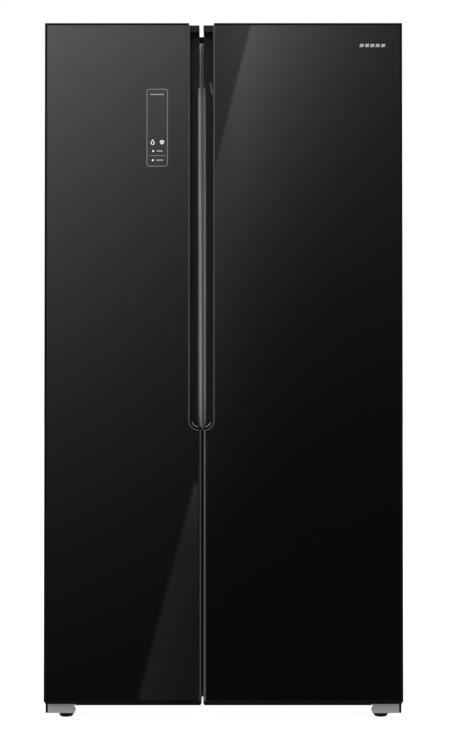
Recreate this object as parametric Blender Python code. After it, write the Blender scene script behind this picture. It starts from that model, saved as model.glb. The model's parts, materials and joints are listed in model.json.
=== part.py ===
"""Side by side refrigerator with black glass doors.

Frame: metres, +Z up, doors face -Y, +X is the right-hand side seen from the front.
Origin: centre of the footprint, on the floor.
"""
import math

import bmesh
import bpy

# ---------------------------------------------------------------- driving dimensions
WIDTH = 0.910            # over the door glass
DEPTH = 0.643            # touch panel face to rear cover
HEIGHT = 1.786           # floor to top of the hinge covers
FREEZER_SHARE = 0.4414   # part of the width left of the door split
DOOR_GAP = 0.0044        # between the two doors
DOOR_BOTTOM = 0.042      # floor to underside of the door bodies
DOOR_DEPTH = 0.060       # glass face to inner face of the door
GASKET_DEPTH = 0.012     # door to cabinet front
SLOT_LENGTH = 1.037      # grip slot, down from the door top
SLOT_FREEZER = 0.034     # slot edge to split, freezer door
SLOT_FRIDGE = 0.0285     # slot edge to split, fridge door
SLOT_RADIUS = 0.025
WALL = 0.050             # cabinet side wall
MULLION = 0.056          # wall between the compartments
DRAWER_TRAVEL = 0.180
SHEET = 0.001            # steel skin
CLEAR = 0.0003           # between pieces that touch
LINER = 0.002

# ---------------------------------------------------------------- derived places
HALF = WIDTH / 2
FRONT = -DEPTH / 2
REAR = DEPTH / 2
SPLIT_X = -HALF + FREEZER_SHARE * WIDTH
BADGE_PROUD = 0.0006
DOOR_Y = FRONT + BADGE_PROUD + CLEAR
GLASS = 0.004
DOOR_TOP = HEIGHT - 0.014
BODY_TOP = DOOR_TOP - 0.005
BODY_FRONT = DOOR_Y + GLASS + CLEAR
BODY_REAR = DOOR_Y + DOOR_DEPTH - 0.015
LINER_FRONT = BODY_REAR + CLEAR
DOOR_REAR = DOOR_Y + DOOR_DEPTH
SLOT_BOTTOM = DOOR_TOP - SLOT_LENGTH
SLOT_DEPTH = 0.036       # glass face to the slot's back wall
GRIP_TOP = DOOR_TOP - 0.155
CAP_BOTTOM = BODY_TOP - 0.017   # black cap over the slot's top end
GRIP_UNDERCUT = 0.020
SCOOP_FREEZER = 0.0133   # split to the back wall's edge, along the grip
SCOOP_FRIDGE = 0.0082
NECK_FREEZER = 0.0082    # the same above the grip
AXIS_X = HALF - 0.018
AXIS_Y = DOOR_Y + 0.032

CABINET_HALF = HALF - 0.002
SKIN_HALF = CABINET_HALF - SHEET - CLEAR
CABINET_FRONT = DOOR_REAR + GASKET_DEPTH + CLEAR
CABINET_TOP = HEIGHT - 0.030
BASE_BOTTOM = DOOR_BOTTOM + 0.002
BASE_TOP = BASE_BOTTOM + 0.002
TRIM_HEIGHT = 0.017
TRIM_DEPTH = 0.012
TRIM_BOTTOM = CABINET_TOP - TRIM_HEIGHT
FOAM_FRONT = CABINET_FRONT + SHEET + CLEAR
FOAM_BOTTOM = BASE_TOP + CLEAR
FOAM_TOP = CABINET_TOP - SHEET - CLEAR
COVER_DEPTH = 0.013
BACK = REAR - COVER_DEPTH
FOAM_REAR = BACK - SHEET - CLEAR
COMPARTMENT_TOP = FOAM_BOTTOM + 0.239
COMPARTMENT_FRONT = FOAM_REAR - 0.188
COVER_TOP = COMPARTMENT_TOP + 0.014

CAVITY_BOTTOM = FOAM_BOTTOM + 0.044
CAVITY_TOP = CABINET_TOP - 0.056
CAVITY_REAR = FOAM_REAR - 0.055
STEP_FACE = COMPARTMENT_FRONT - 0.048
STEP_TOP = COMPARTMENT_TOP + 0.045
FREEZER = (-CABINET_HALF + WALL, SPLIT_X - MULLION / 2)
FRIDGE = (SPLIT_X + MULLION / 2, CABINET_HALF - WALL)
LINED = CLEAR + LINER    # cavity wall to liner face

BIN_REACH = AXIS_Y + 0.120
DRAWER_FRONT = BIN_REACH + 0.017
SHELF = 0.004
SHELF_FRONT = DRAWER_FRONT + 0.004
EVAPORATOR_FACE = CAVITY_REAR - 0.064
SHELF_REAR = EVAPORATOR_FACE - 0.003
DIVIDER_Z = STEP_TOP + LINED + 0.002
DRAWER_COVER_Z = DIVIDER_Z + 0.196
SHELF_ZONE = CAVITY_TOP - DRAWER_COVER_Z
RIB_HEIGHT = 0.006
RIB_REACH = 0.008
ICE_Z = DRAWER_COVER_Z + 0.82 * SHELF_ZONE
FREEZER_SHELVES = (DIVIDER_Z, DRAWER_COVER_Z, DRAWER_COVER_Z + 0.38 * SHELF_ZONE)
FRIDGE_SHELVES = (DIVIDER_Z, DRAWER_COVER_Z) + tuple(
    DRAWER_COVER_Z + share * SHELF_ZONE for share in (0.31, 0.64))

DYKE = 0.025             # height of the rib frame on the door liner
DYKE_WALL = 0.020
DYKE_START = WALL - 0.005   # hinge axis to the rib frame
BIN_WALL = 0.0025
BIN_HEIGHT = 0.105
RAIL = 0.012              # strip that carries the bins
BIN_FLOOR = CAVITY_BOTTOM + 0.050
BIN_PITCH = (CAVITY_TOP - BIN_FLOOR) / 4.2

FOOT_HEIGHT = 0.0150
FOOT_RADIUS = 0.0195
FOOT_X = HALF - 0.0510
FOOT_Y = DOOR_Y + 0.0586
STUD = 0.005
BRACKET_BOTTOM = FOOT_HEIGHT + 0.0005
BRACKET_TOP = DOOR_BOTTOM - 0.0035
BRACKET_OUTER = HALF - 0.0025
BRACKET_WIDTH = 0.074
PLATE = 0.003
PIN = 0.005
PIN_LENGTH = 0.018
ROLLER = 0.020
ROLLER_WIDTH = 0.022
ROLLER_X = HALF - 0.055
ROLLER_Y = FOAM_REAR - 0.045
AXLE = 0.004
FORK = 0.0025

# ---------------------------------------------------------------- building tools
PLANES = {"X": (1, 2, 0), "Y": (0, 2, 1), "Z": (0, 1, 2)}


class Shape:
    """A mesh put together from boxes, prisms and turned pieces."""

    def __init__(self):
        self.bm = bmesh.new()

    def box(self, low, high):
        corners = [(low[0], low[1]), (high[0], low[1]), (high[0], high[1]), (low[0], high[1])]
        return self.prism(corners, "Z", low[2], high[2])

    def prism(self, outline, axis, low, high):
        """Extrude an outline of 2-D points along an axis."""
        first, second, along = PLANES[axis]
        rings = []
        for level in (low, high):
            ring = []
            for u, v in outline:
                place = [0.0, 0.0, 0.0]
                place[first], place[second], place[along] = u, v, level
                ring.append(self.bm.verts.new(place))
            rings.append(ring)
        self.bm.faces.new(rings[0])
        self.bm.faces.new(rings[1])
        count = len(outline)
        for i in range(count):
            j = (i + 1) % count
            self.bm.faces.new((rings[0][i], rings[0][j], rings[1][j], rings[1][i]))
        return self

    def turned(self, profile, axis, centre, steps=28, closed=False):
        """Turn (radius, distance) points about an axis through a centre."""
        first, second, along = PLANES[axis]
        rings = []
        for radius, distance in profile:
            ring = []
            for k in range(steps if radius > 0 else 1):
                turn = 2 * math.pi * k / steps
                place = list(centre)
                place[first] += radius * math.cos(turn)
                place[second] += radius * math.sin(turn)
                place[along] += distance
                ring.append(self.bm.verts.new(place))
            rings.append(ring)
        pairs = list(zip(rings, rings[1:]))
        if closed:
            pairs.append((rings[-1], rings[0]))
        for one, two in pairs:
            for k in range(steps):
                j = (k + 1) % steps
                loop = [one[k % len(one)], one[j % len(one)], two[j % len(two)], two[k % len(two)]]
                self.bm.faces.new(list(dict.fromkeys(loop)))
        return self

    def cylinder(self, radius, axis, centre, low, high, steps=28):
        return self.turned([(0, low), (radius, low), (radius, high), (0, high)], axis, centre, steps)

    def mesh(self, name):
        bmesh.ops.recalc_face_normals(self.bm, faces=self.bm.faces)
        data = bpy.data.meshes.new(name)
        self.bm.to_mesh(data)
        self.bm.free()
        return data


def finish(name, colour, roughness, metallic=0.0):
    material = bpy.data.materials.new(name)
    material.use_nodes = True
    shader = material.node_tree.nodes["Principled BSDF"]
    shader.inputs["Base Color"].default_value = (*colour, 1.0)
    shader.inputs["Roughness"].default_value = roughness
    shader.inputs["Metallic"].default_value = metallic
    return material


def link(name, data, material, smooth):
    """Put a mesh made in the part's frame into the scene."""
    if smooth:
        data.shade_smooth()
        data.set_sharp_from_angle(angle=math.radians(35))
    if material:
        data.materials.append(material)
    item = bpy.data.objects.new(name, data)
    bpy.context.scene.collection.objects.link(item)
    return item


def combine(item, operation, shape, smooth=False):
    """Join a shape to an object, or cut it out, with a hidden helper."""
    label = f"{item.name}_{operation.lower()}_{len(item.modifiers)}"
    tool = link(label, shape.mesh(label), None, smooth)
    tool.hide_render = True
    tool.display_type = "WIRE"
    tool.parent = item
    modifier = item.modifiers.new(operation, "BOOLEAN")
    modifier.operation = operation
    modifier.solver = "EXACT"
    modifier.object = tool


def make(name, shape, material, body, add=(), cut=(), smooth=False):
    """One sub-part: a shape, joined with others and cut by others."""
    item = link(name, shape.mesh(name), material, smooth)
    for helper in add:
        combine(item, "UNION", helper, smooth)
    for helper in cut:
        combine(item, "DIFFERENCE", helper, smooth)
    item.parent = body
    item.location = -body.location
    return item


def body_at(name, place):
    """An empty that carries every piece of one moving body."""
    empty = bpy.data.objects.new(name, None)
    empty.location = place
    empty.empty_display_size = 0.05
    bpy.context.scene.collection.objects.link(empty)
    return empty


def open_box(low, high, wall, cut):
    """A box without its top, and the shape that hollows it."""
    cut.box((low[0] + wall, low[1] + wall, low[2] + wall), (high[0] - wall, high[1] - wall, high[2] + wall))
    return Shape().box(low, high)


def comb(low, high, pitch, tooth, bar, axis, depth):
    """A row of fins standing on one bar."""
    count = int((high[0] - low[0] - tooth) / pitch)
    outline = [(low[0], low[1])]
    for k in range(count + 1):
        left = low[0] + k * pitch
        outline += [(left, high[1]), (left + tooth, high[1])]
        if k < count:
            outline += [(left + tooth, low[1] + bar), (left + pitch, low[1] + bar)]
    outline.append((outline[-1][0], low[1]))
    return Shape().prism(outline, axis, *depth)


def fan_outline(centre, hub, tip, blades=5):
    """Five broad blades around a hub."""
    outline = []
    for k in range(blades):
        start = 2 * math.pi * k / blades
        for radius, turn in ((hub, 0.0), (tip, 0.15), (tip, 0.40), (tip, 0.65), (tip, 0.90),
                             (hub, 0.72), (hub, 0.98)):
            outline.append((centre[0] + radius * math.cos(start + turn),
                            centre[1] + radius * math.sin(start + turn)))
    return outline


# ---------------------------------------------------------------- cabinet
def cavity_outline(inset, front):
    """Side view (y, z) of a compartment, with the step over the compressor."""
    bottom, top = CAVITY_BOTTOM + inset, CAVITY_TOP - inset
    step, ledge, rear = STEP_FACE - inset, STEP_TOP + inset, CAVITY_REAR - inset
    return [(front, bottom), (step, bottom), (step, ledge), (rear, ledge), (rear, top), (front, top)]


def cabinet_shell(root, steel, foam):
    for side, sign in (("left", -1), ("right", 1)):
        faces = sorted((sign * CABINET_HALF, sign * (CABINET_HALF - SHEET)))
        shape = Shape().box((faces[0], CABINET_FRONT, BASE_BOTTOM), (faces[1], BACK, CABINET_TOP))
        make(f"side_panel_{side}", shape, steel, root)
    top = Shape().box((-SKIN_HALF, CABINET_FRONT + TRIM_DEPTH + CLEAR, CABINET_TOP - SHEET),
                      (SKIN_HALF, BACK, CABINET_TOP))
    make("top_panel", top, steel, root)
    rear = Shape().box((-SKIN_HALF, BACK - SHEET, COVER_TOP + CLEAR), (SKIN_HALF, BACK, FOAM_TOP))
    make("rear_panel", rear, steel, root)
    frame = Shape().box((-SKIN_HALF, CABINET_FRONT, FOAM_BOTTOM),
                        (SKIN_HALF, CABINET_FRONT + SHEET, TRIM_BOTTOM - CLEAR))
    windows = Shape()
    for left, right in (FREEZER, FRIDGE):
        windows.box((left, CABINET_FRONT - SHEET, CAVITY_BOTTOM), (right, FOAM_FRONT, CAVITY_TOP))
    make("front_frame", frame, steel, root, cut=[windows])
    block = Shape().box((-SKIN_HALF, FOAM_FRONT, FOAM_BOTTOM), (SKIN_HALF, FOAM_REAR, FOAM_TOP))
    hollow = Shape()
    for left, right in (FREEZER, FRIDGE):
        hollow.prism(cavity_outline(0, CABINET_FRONT - SHEET), "X", left, right)
    hollow.box((-HALF, COMPARTMENT_FRONT, 0), (HALF, REAR, COMPARTMENT_TOP))
    hollow.box((-HALF, FRONT, TRIM_BOTTOM - CLEAR), (HALF, CABINET_FRONT + TRIM_DEPTH + CLEAR, HEIGHT))
    make("insulation", block, foam, root, cut=[hollow])


def liner(name, span, shelves, root, plastic):
    left, right = span
    outer = Shape().prism(cavity_outline(CLEAR, CABINET_FRONT), "X", left + CLEAR, right - CLEAR)
    hollow = Shape().prism(cavity_outline(LINED, CABINET_FRONT - SHEET), "X", left + LINED, right - LINED)
    shell = make(name, outer, plastic, root, cut=[hollow])
    ribs = Shape()
    for z in shelves:
        back = STEP_FACE - 0.01 if z == DIVIDER_Z else SHELF_REAR - 0.02
        for wall, sign in ((left + LINED, 1), (right - LINED, -1)):
            faces = sorted((wall - sign * LINER / 2, wall + sign * RIB_REACH))
            ribs.box((faces[0], SHELF_FRONT + 0.02, z - CLEAR - RIB_HEIGHT),
                     (faces[1], back, z - CLEAR))
    combine(shell, "UNION", ribs)


def shelf(name, span, z, root, glass, cut=()):
    """A glass plate with a turned-up front trim."""
    left, right = span[0] + LINED + 0.0012, span[1] - LINED - 0.0012
    outline = [(SHELF_FRONT, z), (SHELF_REAR, z), (SHELF_REAR, z + SHELF), (SHELF_FRONT + 0.014, z + SHELF),
               (SHELF_FRONT + 0.014, z + 2 * SHELF), (SHELF_FRONT, z + 2 * SHELF)]
    make(name, Shape().prism(outline, "X", left, right), glass, root, cut=cut)


def fittings(root, glass, plastic, black):
    for label, z in zip(("lower", "middle", "upper"), FREEZER_SHELVES):
        shelf(f"freezer_shelf_{label}", FREEZER, z, root, glass)
    names = ("fridge_shelf_divider", "crisper_cover", "fridge_shelf_lower", "fridge_shelf_upper")
    for name, z in zip(names, FRIDGE_SHELVES):
        groove = []
        if name == "crisper_cover":
            groove = [Shape().box((SLIDER_X - 0.002, SHELF_FRONT + 0.003, z + SHELF),
                                  (SLIDER_X + SLIDER_LENGTH + SLIDER_TRAVEL + 0.002, SHELF_FRONT + 0.011,
                                   z + 3 * SHELF))]
        shelf(name, FRIDGE, z, root, glass, groove)
    trim = Shape().box((-SKIN_HALF, CABINET_FRONT, TRIM_BOTTOM),
                       (SKIN_HALF, CABINET_FRONT + TRIM_DEPTH, CABINET_TOP))
    make("top_front_trim", trim, black, root)
    duct_middle = (FRIDGE[0] + FRIDGE[1]) / 2
    lamp = Shape().box((duct_middle - 0.05, AXIS_Y + 0.17, CAVITY_TOP - LINED - 0.012),
                       (duct_middle + 0.05, AXIS_Y + 0.23, CAVITY_TOP - LINED - CLEAR))
    make("fridge_light", lamp, plastic, root)
    duct_face = CAVITY_REAR - LINED - 0.014
    duct = Shape().box((duct_middle - 0.09, duct_face, DRAWER_COVER_Z + 0.05),
                       (duct_middle + 0.09, CAVITY_REAR - LINED - CLEAR, CAVITY_TOP - 0.04))
    vents = Shape()
    for z in FRIDGE_SHELVES[1:]:
        vents.box((duct_middle - 0.06, duct_face - 0.01, z + 0.13), (duct_middle + 0.06, duct_face + 0.008, z + 0.14))
    make("fridge_air_duct", duct, plastic, root, cut=[vents])


# ---------------------------------------------------------------- cooling
FREEZER_MIDDLE = (FREEZER[0] + FREEZER[1]) / 2
EVAPORATOR_FAN = (FREEZER_MIDDLE, EVAPORATOR_FACE + 0.008, DRAWER_COVER_Z + 0.58 * SHELF_ZONE)
EVAPORATOR_FAN_TIP = 0.050
FAN_DEPTH = 0.014
CONDENSER_FAN = (-CABINET_HALF + 0.363, COMPARTMENT_FRONT + 0.092, BASE_TOP + 0.084)
CONDENSER_FAN_TIP = 0.062
SHAFT = 0.003


def fan(name, centre, tip, axis, material):
    """Blades on a hub with a blind hole for the motor shaft."""
    carrier = body_at(f"{name}_axis", centre)
    first, second, along = PLANES[axis]
    middle = (centre[first], centre[second])
    hub = Shape().cylinder(tip * 0.3, axis, centre, -0.001, FAN_DEPTH + 0.001, 20)
    bore = Shape().cylinder(SHAFT + 0.0005, axis, centre, 0.004, FAN_DEPTH + 0.01, 12)
    blades = Shape().prism(fan_outline(middle, tip * 0.25, tip), axis, centre[along], centre[along] + FAN_DEPTH)
    make(name, blades, material, carrier, add=[hub], cut=[bore])


def motor_profile(radius, end):
    """A motor can with its shaft, which reaches into the fan's hub."""
    face = FAN_DEPTH + 0.003
    return [(0, 0.006), (SHAFT, 0.006), (SHAFT, face), (radius, face), (radius, end), (0, end)]


def cooling(root, alloy, black, plastic):
    left, right = FREEZER[0] + LINED + 0.0012, FREEZER[1] - LINED - 0.0012
    fins = comb((left + 0.02, EVAPORATOR_FACE + 0.010), (right - 0.02, CAVITY_REAR - LINED - 0.006),
                0.016, 0.003, 0.006, "Z", (DRAWER_COVER_Z + 0.08, DRAWER_COVER_Z + 0.40))
    make("evaporator", fins, alloy, root)
    cover = Shape().box((left, EVAPORATOR_FACE, DIVIDER_Z + 2 * SHELF), (right, EVAPORATOR_FACE + LINER,
                                                                          CAVITY_TOP - LINED - 0.002))
    holes = Shape().cylinder(EVAPORATOR_FAN_TIP + 0.004, "Y", (EVAPORATOR_FAN[0], EVAPORATOR_FACE,
                                                                EVAPORATOR_FAN[2]), -0.01, 0.01, 32)
    for row in range(4):
        z = DRAWER_COVER_Z + 0.03 + row * 0.014
        holes.box((left + 0.06, EVAPORATOR_FACE - 0.01, z), (right - 0.06, EVAPORATOR_FACE + 0.01, z + 0.006))
    make("evaporator_cover", cover, plastic, root, cut=[holes])
    fan("evaporator_fan", EVAPORATOR_FAN, EVAPORATOR_FAN_TIP, "Y", black)
    fan("condenser_fan", CONDENSER_FAN, CONDENSER_FAN_TIP, "X", black)
    depth = CAVITY_REAR - LINED - CLEAR - EVAPORATOR_FAN[1]
    motor = Shape().turned(motor_profile(0.018, depth), "Y", EVAPORATOR_FAN, 20)
    make("evaporator_fan_motor", motor, black, root, smooth=True)
    x, y, z = CONDENSER_FAN
    motor = Shape().turned(motor_profile(0.026, 0.055), "X", CONDENSER_FAN, 20)
    stand = Shape().box((x + 0.030, y - 0.020, BASE_TOP + CLEAR), (x + 0.036, y + 0.020, z))
    make("condenser_fan_motor", motor, black, root, add=[stand], smooth=True)

    middle = (CABINET_HALF - 0.198, COMPARTMENT_FRONT + 0.094, BASE_TOP)
    dome = [(0, 0.012), (0.040, 0.012), (0.058, 0.030), (0.060, 0.045), (0.060, 0.115), (0.050, 0.140),
            (0.030, 0.152), (0, 0.155)]
    sole = Shape().box((middle[0] - 0.085, middle[1] - 0.060, BASE_TOP + 0.014),
                       (middle[0] + 0.085, middle[1] + 0.060, BASE_TOP + 0.018))
    mounts = Shape()
    for dx in (-0.072, 0.072):
        for dy in (-0.045, 0.045):
            mounts.cylinder(0.010, "Z", (middle[0] + dx, middle[1] + dy, BASE_TOP), CLEAR, 0.015, 12)
    make("compressor", Shape().turned(dome, "Z", middle), black, root, add=[sole, mounts], smooth=True)
    tray = Shape()
    pan = open_box((middle[0] - 0.13, COMPARTMENT_FRONT + 0.012, BASE_TOP + 0.165),
                   (middle[0] + 0.13, FOAM_REAR - 0.012, BASE_TOP + 0.190), 0.002, tray)
    make("drip_pan", pan, black, root, cut=[tray])
    coil = comb((-CABINET_HALF + 0.033, BASE_TOP + CLEAR), (-CABINET_HALF + 0.288, BASE_TOP + 0.150),
                0.014, 0.003, 0.008, "Y", (COMPARTMENT_FRONT + 0.015, FOAM_REAR - 0.025))
    make("condenser", coil, alloy, root)

    gland = (CABINET_HALF - 0.073, REAR - LINER, BASE_TOP + 0.055)
    shell = Shape().box((-SKIN_HALF, FOAM_REAR + 2 * CLEAR, BASE_TOP + CLEAR), (SKIN_HALF, REAR, COVER_TOP))
    opening = Shape().box((-SKIN_HALF + LINER, 0, BASE_TOP + LINER), (SKIN_HALF - LINER, REAR - LINER,
                                                                      COVER_TOP - LINER))
    louvres = Shape()
    for start in (-CABINET_HALF + 0.093, CONDENSER_FAN[0]):
        for row in range(8):
            z = BASE_TOP + 0.060 + row * 0.018
            louvres.box((start, REAR - 0.02, z), (start + 0.18, REAR + 0.01, z + 0.007))
    louvres.cylinder(0.011, "Y", gland, -0.01, 0.01, 20)
    make("rear_cover", shell, black, root, cut=[opening, louvres])
    ring = [(0.0045, -0.008), (0.014, -0.008), (0.014, -CLEAR), (0.0107, -CLEAR), (0.0107, LINER), (0.0045, LINER)]
    make("cord_gland", Shape().turned(ring, "Y", gland, 20, closed=True), black, root, smooth=True)


# ---------------------------------------------------------------- feet, rollers and hinges
def base_plate(root, steel):
    """Floor of the cabinet, with the rear rollers' forks and axles welded on."""
    base = Shape().box((-SKIN_HALF, CABINET_FRONT, BASE_BOTTOM), (SKIN_HALF, BACK - SHEET, BASE_TOP))
    forks, slots, axles = Shape(), Shape(), Shape()
    cheek = ROLLER_WIDTH / 2 + 0.001
    for middle in (-ROLLER_X, ROLLER_X):
        forks.box((middle - cheek - FORK, ROLLER_Y - 0.022, ROLLER - 0.009),
                  (middle + cheek + FORK, ROLLER_Y + 0.022, BASE_BOTTOM + 0.0005))
        slots.box((middle - cheek, ROLLER_Y - 0.03, 0), (middle + cheek, ROLLER_Y + 0.03, 2 * ROLLER + 0.0012))
        axles.cylinder(AXLE, "X", (middle, ROLLER_Y, ROLLER), -cheek - FORK / 2, cheek + FORK / 2, 16)
    item = make("base_plate", base, steel, root, add=[forks], cut=[slots])
    combine(item, "UNION", axles)


def underside(root, steel, rubber):
    for side, sign in (("left", -1), ("right", 1)):
        outer, inner = sign * BRACKET_OUTER, sign * (BRACKET_OUTER - BRACKET_WIDTH)
        x0, x1 = sorted((outer, inner))
        front, back = AXIS_Y - 0.013, CABINET_FRONT + 0.055
        block = Shape().box((x0, front, BRACKET_BOTTOM), (x1, back, BRACKET_TOP))
        seat = Shape().box((x0, CABINET_FRONT + 0.002, BRACKET_TOP - 0.001), (x1, back, BASE_BOTTOM - CLEAR))
        pin = Shape().cylinder(PIN, "Z", (sign * AXIS_X, AXIS_Y, BRACKET_TOP), -0.001, PIN_LENGTH, 20)
        x0, x1 = sorted((outer - sign * PLATE, inner - sign * PLATE))
        inside = Shape().box((x0, front + PLATE, 0), (x1, back + 0.01, BRACKET_TOP - PLATE))
        hole = Shape().cylinder(STUD + 0.0004, "Z", (sign * FOOT_X, FOOT_Y, 0), 0.02, BRACKET_TOP + 0.01, 20)
        make(f"foot_bracket_{side}", block, steel, root, add=[seat, pin], cut=[inside, hole])

        turn = body_at(f"levelling_foot_{side}_axis", (sign * FOOT_X, FOOT_Y, 0))
        profile = [(0, 0), (FOOT_RADIUS - 0.003, 0), (FOOT_RADIUS, 0.004), (FOOT_RADIUS, FOOT_HEIGHT - 0.001),
                   (FOOT_RADIUS - 0.001, FOOT_HEIGHT), (STUD + 0.004, FOOT_HEIGHT),
                   (STUD + 0.004, FOOT_HEIGHT + 0.006), (STUD, FOOT_HEIGHT + 0.006), (STUD, BRACKET_TOP + 0.0015),
                   (0, BRACKET_TOP + 0.0015)]
        foot = Shape().turned(profile, "Z", (sign * FOOT_X, FOOT_Y, 0), 24)
        make(f"levelling_foot_{side}", foot, rubber, turn, smooth=True)

        spin = body_at(f"rear_roller_{side}_axis", (sign * ROLLER_X, ROLLER_Y, ROLLER))
        half = ROLLER_WIDTH / 2
        tyre = [(AXLE + 0.0005, -half), (ROLLER - 0.002, -half), (ROLLER, -half + 0.003), (ROLLER, half - 0.003),
                (ROLLER - 0.002, half), (AXLE + 0.0005, half)]
        make(f"rear_roller_{side}", Shape().turned(tyre, "X", (sign * ROLLER_X, ROLLER_Y, ROLLER), 28, closed=True),
             rubber, spin, smooth=True)


def top_hinges(root, steel, black):
    low = BODY_TOP + 0.0015
    for side, sign in (("left", -1), ("right", 1)):
        x0, x1 = sorted((sign * (AXIS_X + 0.010), sign * (AXIS_X - 0.030)))
        plate = Shape().box((x0, AXIS_Y - 0.011, low), (x1, CABINET_FRONT + 0.085, low + PLATE))
        rest = Shape().box((x0, CABINET_FRONT + 0.010, CABINET_TOP + CLEAR), (x1, CABINET_FRONT + 0.085, low + 0.001))
        pin = Shape().cylinder(PIN, "Z", (sign * AXIS_X, AXIS_Y, low), -PIN_LENGTH, 0.001, 20)
        make(f"hinge_bracket_{side}", plate, steel, root, add=[rest, pin])
        x0, x1 = sorted((sign * (CABINET_HALF - 0.003), sign * (AXIS_X - 0.045)))
        y0, y1 = CABINET_FRONT + 0.001, CABINET_FRONT + 0.120
        shell = Shape().box((x0, y0, CABINET_TOP + CLEAR), (x1, y1, HEIGHT))
        inside = Shape().box((x0 + LINER, y0 + LINER, CABINET_TOP - 0.01), (x1 - LINER, y1 - LINER, HEIGHT - LINER))
        gate = Shape().box((x0 + LINER, y0 - 0.01, CABINET_TOP - 0.01), (x1 - LINER, y0 + 0.01, low + PLATE + 0.001))
        make(f"hinge_cover_{side}", shell, black, root, cut=[inside, gate])


# ---------------------------------------------------------------- drawers and ice maker
SLIDER_LENGTH = 0.014
SLIDER_TRAVEL = 0.030
SLIDER_X = (FRIDGE[0] + FRIDGE[1]) / 2 - 0.022
ICE_AXIS = (FREEZER_MIDDLE, SHELF_FRONT + 0.020, ICE_Z + 0.075)
ICE_LENGTH = 0.240


def drawers(plastic):
    for zone, span in (("freezer", FREEZER), ("crisper", FRIDGE)):
        left, right = span[0] + 0.007, span[1] - 0.007
        levels = (("lower", CAVITY_BOTTOM + LINED + 0.002, DIVIDER_Z - 0.009, STEP_FACE - 0.006),
                  ("upper", DIVIDER_Z + 0.009, DRAWER_COVER_Z - 0.009, SHELF_REAR - 0.004))
        for label, bottom, top, back in levels:
            carrier = body_at(f"{zone}_drawer_{label}_slide", ((left + right) / 2, DRAWER_FRONT, bottom))
            hollow = Shape()
            tub = open_box((left, DRAWER_FRONT, bottom), (right, back, top), BIN_WALL, hollow)
            middle = (left + right) / 2
            grip = Shape().box((middle - 0.06, DRAWER_FRONT - 0.01, top - 0.022), (middle + 0.06, DRAWER_FRONT + 0.01,
                                                                           top + 0.01))
            make(f"{zone}_drawer_{label}", tub, plastic, carrier, cut=[hollow, grip])
    x, y, z = SLIDER_X, SHELF_FRONT + 0.0035, DRAWER_COVER_Z + SHELF + CLEAR
    carrier = body_at("humidity_slider_slide", (x, y, z))
    knob = Shape().box((x, y, z), (x + SLIDER_LENGTH, y + 0.007, z + 0.010))
    make("humidity_slider", knob, plastic, carrier)


def ice_maker(root, plastic):
    x, y, z = ICE_AXIS
    left, right = FREEZER[0] + LINED + 0.0015, FREEZER[1] - LINED - 0.0015
    back = y + ICE_LENGTH + 0.008
    frame = Shape().box((left, y - 0.006, ICE_Z), (right, back + 0.003, ICE_Z + 0.14))
    hollow = Shape().box((left + 0.003, y - 0.003, ICE_Z - 0.01), (right - 0.003, back, ICE_Z + 0.15))
    bore = Shape().cylinder(0.0065, "Y", (x, y, z), -0.05, ICE_LENGTH + 0.05, 20)
    make("ice_tray_frame", frame, plastic, root, cut=[hollow, bore])
    carrier = body_at("ice_tray_axis", ICE_AXIS)
    tray = Shape().box((x - 0.052, y, z - 0.020), (x + 0.052, y + ICE_LENGTH, z + 0.016))
    knob = [(0, -0.022), (0.018, -0.022), (0.022, -0.018), (0.022, -0.010), (0.006, -0.010), (0.006, 0.002),
            (0, 0.002)]
    ends = Shape().turned(knob, "Y", (x, y, z), 24)
    ends.cylinder(0.006, "Y", (x, y + ICE_LENGTH, z), -0.002, 0.012, 24)
    make("ice_tray", tray, plastic, carrier, add=[ends], cut=[ice_cells(x, y, z)])


def ice_cells(x, y, z):
    cells = Shape()
    pitch = (ICE_LENGTH - 0.004) / 6
    for row in range(6):
        for side in (-1, 1):
            middle = x + side * 0.0255
            low = y + 0.004 + row * pitch
            cells.box((middle - 0.0235, low, z - 0.016), (middle + 0.0235, low + pitch - 0.004, z + 0.03))
    return cells


# ---------------------------------------------------------------- doors
def slot_outline(edge, towards, bottom, top, radius):
    """Slot in the latch edge of a door: straight side, round corner, then out past the edge."""
    outline = [(edge, top)]
    for k in range(7):
        turn = math.pi / 2 * k / 6
        outline.append((edge + towards * radius * (1 - math.cos(turn)), bottom + radius * (1 - math.sin(turn))))
    outline += [(edge + towards * 0.08, bottom), (edge + towards * 0.08, top)]
    return outline


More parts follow.
